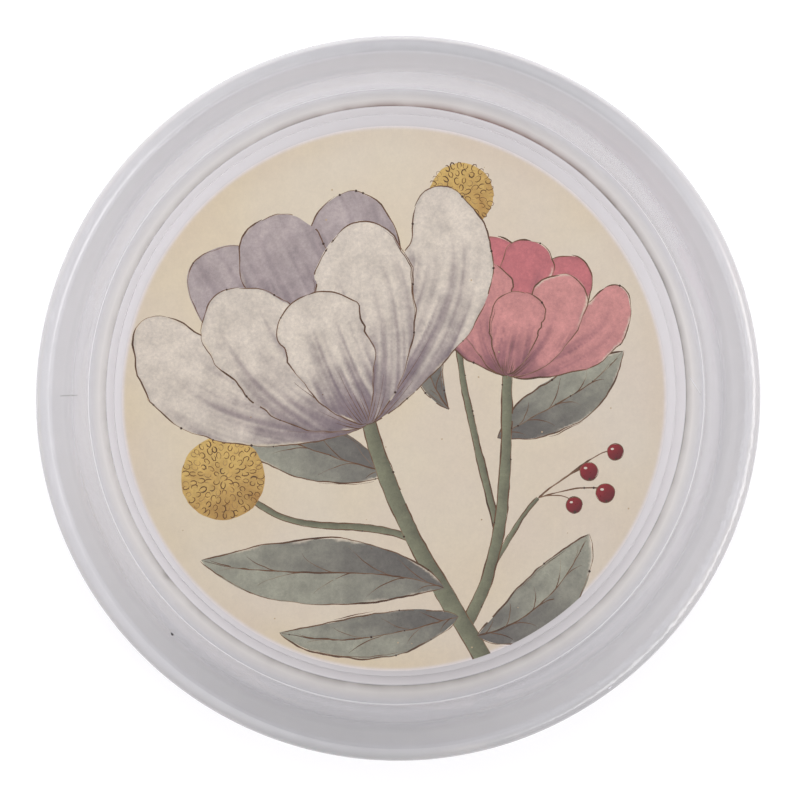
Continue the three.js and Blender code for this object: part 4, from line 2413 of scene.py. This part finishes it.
@dataclass
class Studio:
    """The pale table, the soft light and the camera above the dish."""

    camera_place: Triple = (-38.0, 32.4, 619.0)
    camera_aim: Triple = (0.24, -0.28, 10.0)
    lens_millimetres: float = 135.2
    sensor_millimetres: float = 36.0
    table_drop: float = 0.1
    table_half_width: float = 3000.0
    room_colour: LinearRGBA = (0.99, 0.985, 1.0, 1.0)
    room_light: float = 0.305
    windows: tuple[SoftWindow, ...] = (
        SoftWindow((0.80, -0.34, 0.50), 0.76),
        SoftWindow((-0.85, 0.05, 0.52), 0.65),
    )
    lamps: tuple[SoftBox, ...] = (
        SoftBox("right_strip", (0.88, -0.37, 1.42), (1.5, 0.74), 17.0, (1.0, 0.99, 0.99), lights_up=False),
        SoftBox("right_lamp", (0.85, -0.40, 1.45), (0.36, 0.36), 3.3, (1.0, 0.99, 0.98), mirrored=False),
        SoftBox("far_panel", (-0.05, 0.30, 0.42), (0.4, 0.4), 1.58, (0.985, 0.985, 1.0), mirrored=False),
    )

    def build(self) -> None:
        """Builds the table, the lamps, the world's light and the camera."""
        self._table()
        for lamp in self.lamps:
            lamp.build()
        self._world()
        self._camera()
        bpy.context.scene.view_settings.view_transform = "Standard"

    def _table(self) -> None:
        """A wide flat sheet just under the foot ring."""
        half = self.table_half_width * MM
        level = -self.table_drop * MM
        corners = [(-half, -half, level), (half, -half, level), (half, half, level), (-half, half, level)]
        mesh = bpy.data.meshes.new("tabletop")
        mesh.from_pydata(corners, [], [(0, 1, 2, 3)])
        table = new_object("tabletop", mesh)
        table.data.materials.append(PaleTabletop().material())

    def _world(self) -> None:
        """Even light from all round, with a wide soft window of light to each side."""
        world = bpy.data.worlds.new("soft_room")
        world.use_nodes = True
        nodes, links = world.node_tree.nodes, world.node_tree.links
        towards = nodes.new("ShaderNodeTexCoord").outputs["Generated"]
        level: NodeSocket | None = None
        for window in self.windows:
            glow = window.glow(world.node_tree, towards)
            total = nodes.new("ShaderNodeMath")
            total.operation = "ADD"
            total.inputs[1].default_value = self.room_light
            links.new(glow, total.inputs[0])
            if level is not None:
                links.new(level, total.inputs[1])
            level = total.outputs["Value"]
        background = nodes["Background"]
        background.inputs["Color"].default_value = self.room_colour
        links.new(level, background.inputs["Strength"])
        bpy.context.scene.world = world

    def _camera(self) -> None:
        """A long lens a little off the axis, aimed down at the middle of the dish."""
        lens = bpy.data.cameras.new("overhead")
        lens.sensor_width = self.sensor_millimetres
        lens.lens = self.lens_millimetres
        place = Vector(self.camera_place) * MM
        behind = (place - Vector(self.camera_aim) * MM).normalized()
        right = Vector((0.0, 1.0, 0.0)).cross(behind).normalized()
        turn = Matrix((right, behind.cross(right), behind)).transposed()
        camera = bpy.data.objects.new("overhead", lens)
        camera.matrix_world = Matrix.Translation(place) @ turn.to_4x4()
        bpy.context.scene.collection.objects.link(camera)
        bpy.context.scene.camera = camera


# --- The whole dish ---


@dataclass(frozen=True)
class NodeBox:
    """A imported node's box, in millimetres."""

    low: Vector
    high: Vector

    @classmethod
    def of(cls, node: str) -> "NodeBox":
        """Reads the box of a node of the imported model."""
        low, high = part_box(node)
        return cls(low / MM, high / MM)

    @property
    def centre(self) -> Pair:
        """The middle of the box, seen from above."""
        middle = (self.low + self.high) / 2.0
        return (middle.x, middle.y)

    @property
    def radius(self) -> float:
        """Half the width of the box."""
        return (self.high.x - self.low.x) / 2.0


def main() -> None:
    """Builds the dish, the papers and the studio in order."""
    logging.basicConfig(level=logging.INFO, format="%(name)s: %(message)s")
    glass_box = NodeBox.of("glass_dish")
    print_box = NodeBox.of("printed_sheet")
    backing_box = NodeBox.of("backing_sheet")
    dish = GlassDish(rim_radius=glass_box.radius, height=glass_box.high.z)
    dish.dress(dish.build())
    for mark in glass_marks(dish.height):
        mark.dress(mark.build(dish))
    sheet = PrintedSheet(print_box.centre, print_box.radius, print_box.low.z, print_box.high.z)
    sheet.dress(sheet.build())
    backing = BackingSheet(backing_box.centre, backing_box.radius, backing_box.low.z, backing_box.high.z)
    backing.dress(backing.build())
    Studio().build()


if __name__ == "__main__":
    main()
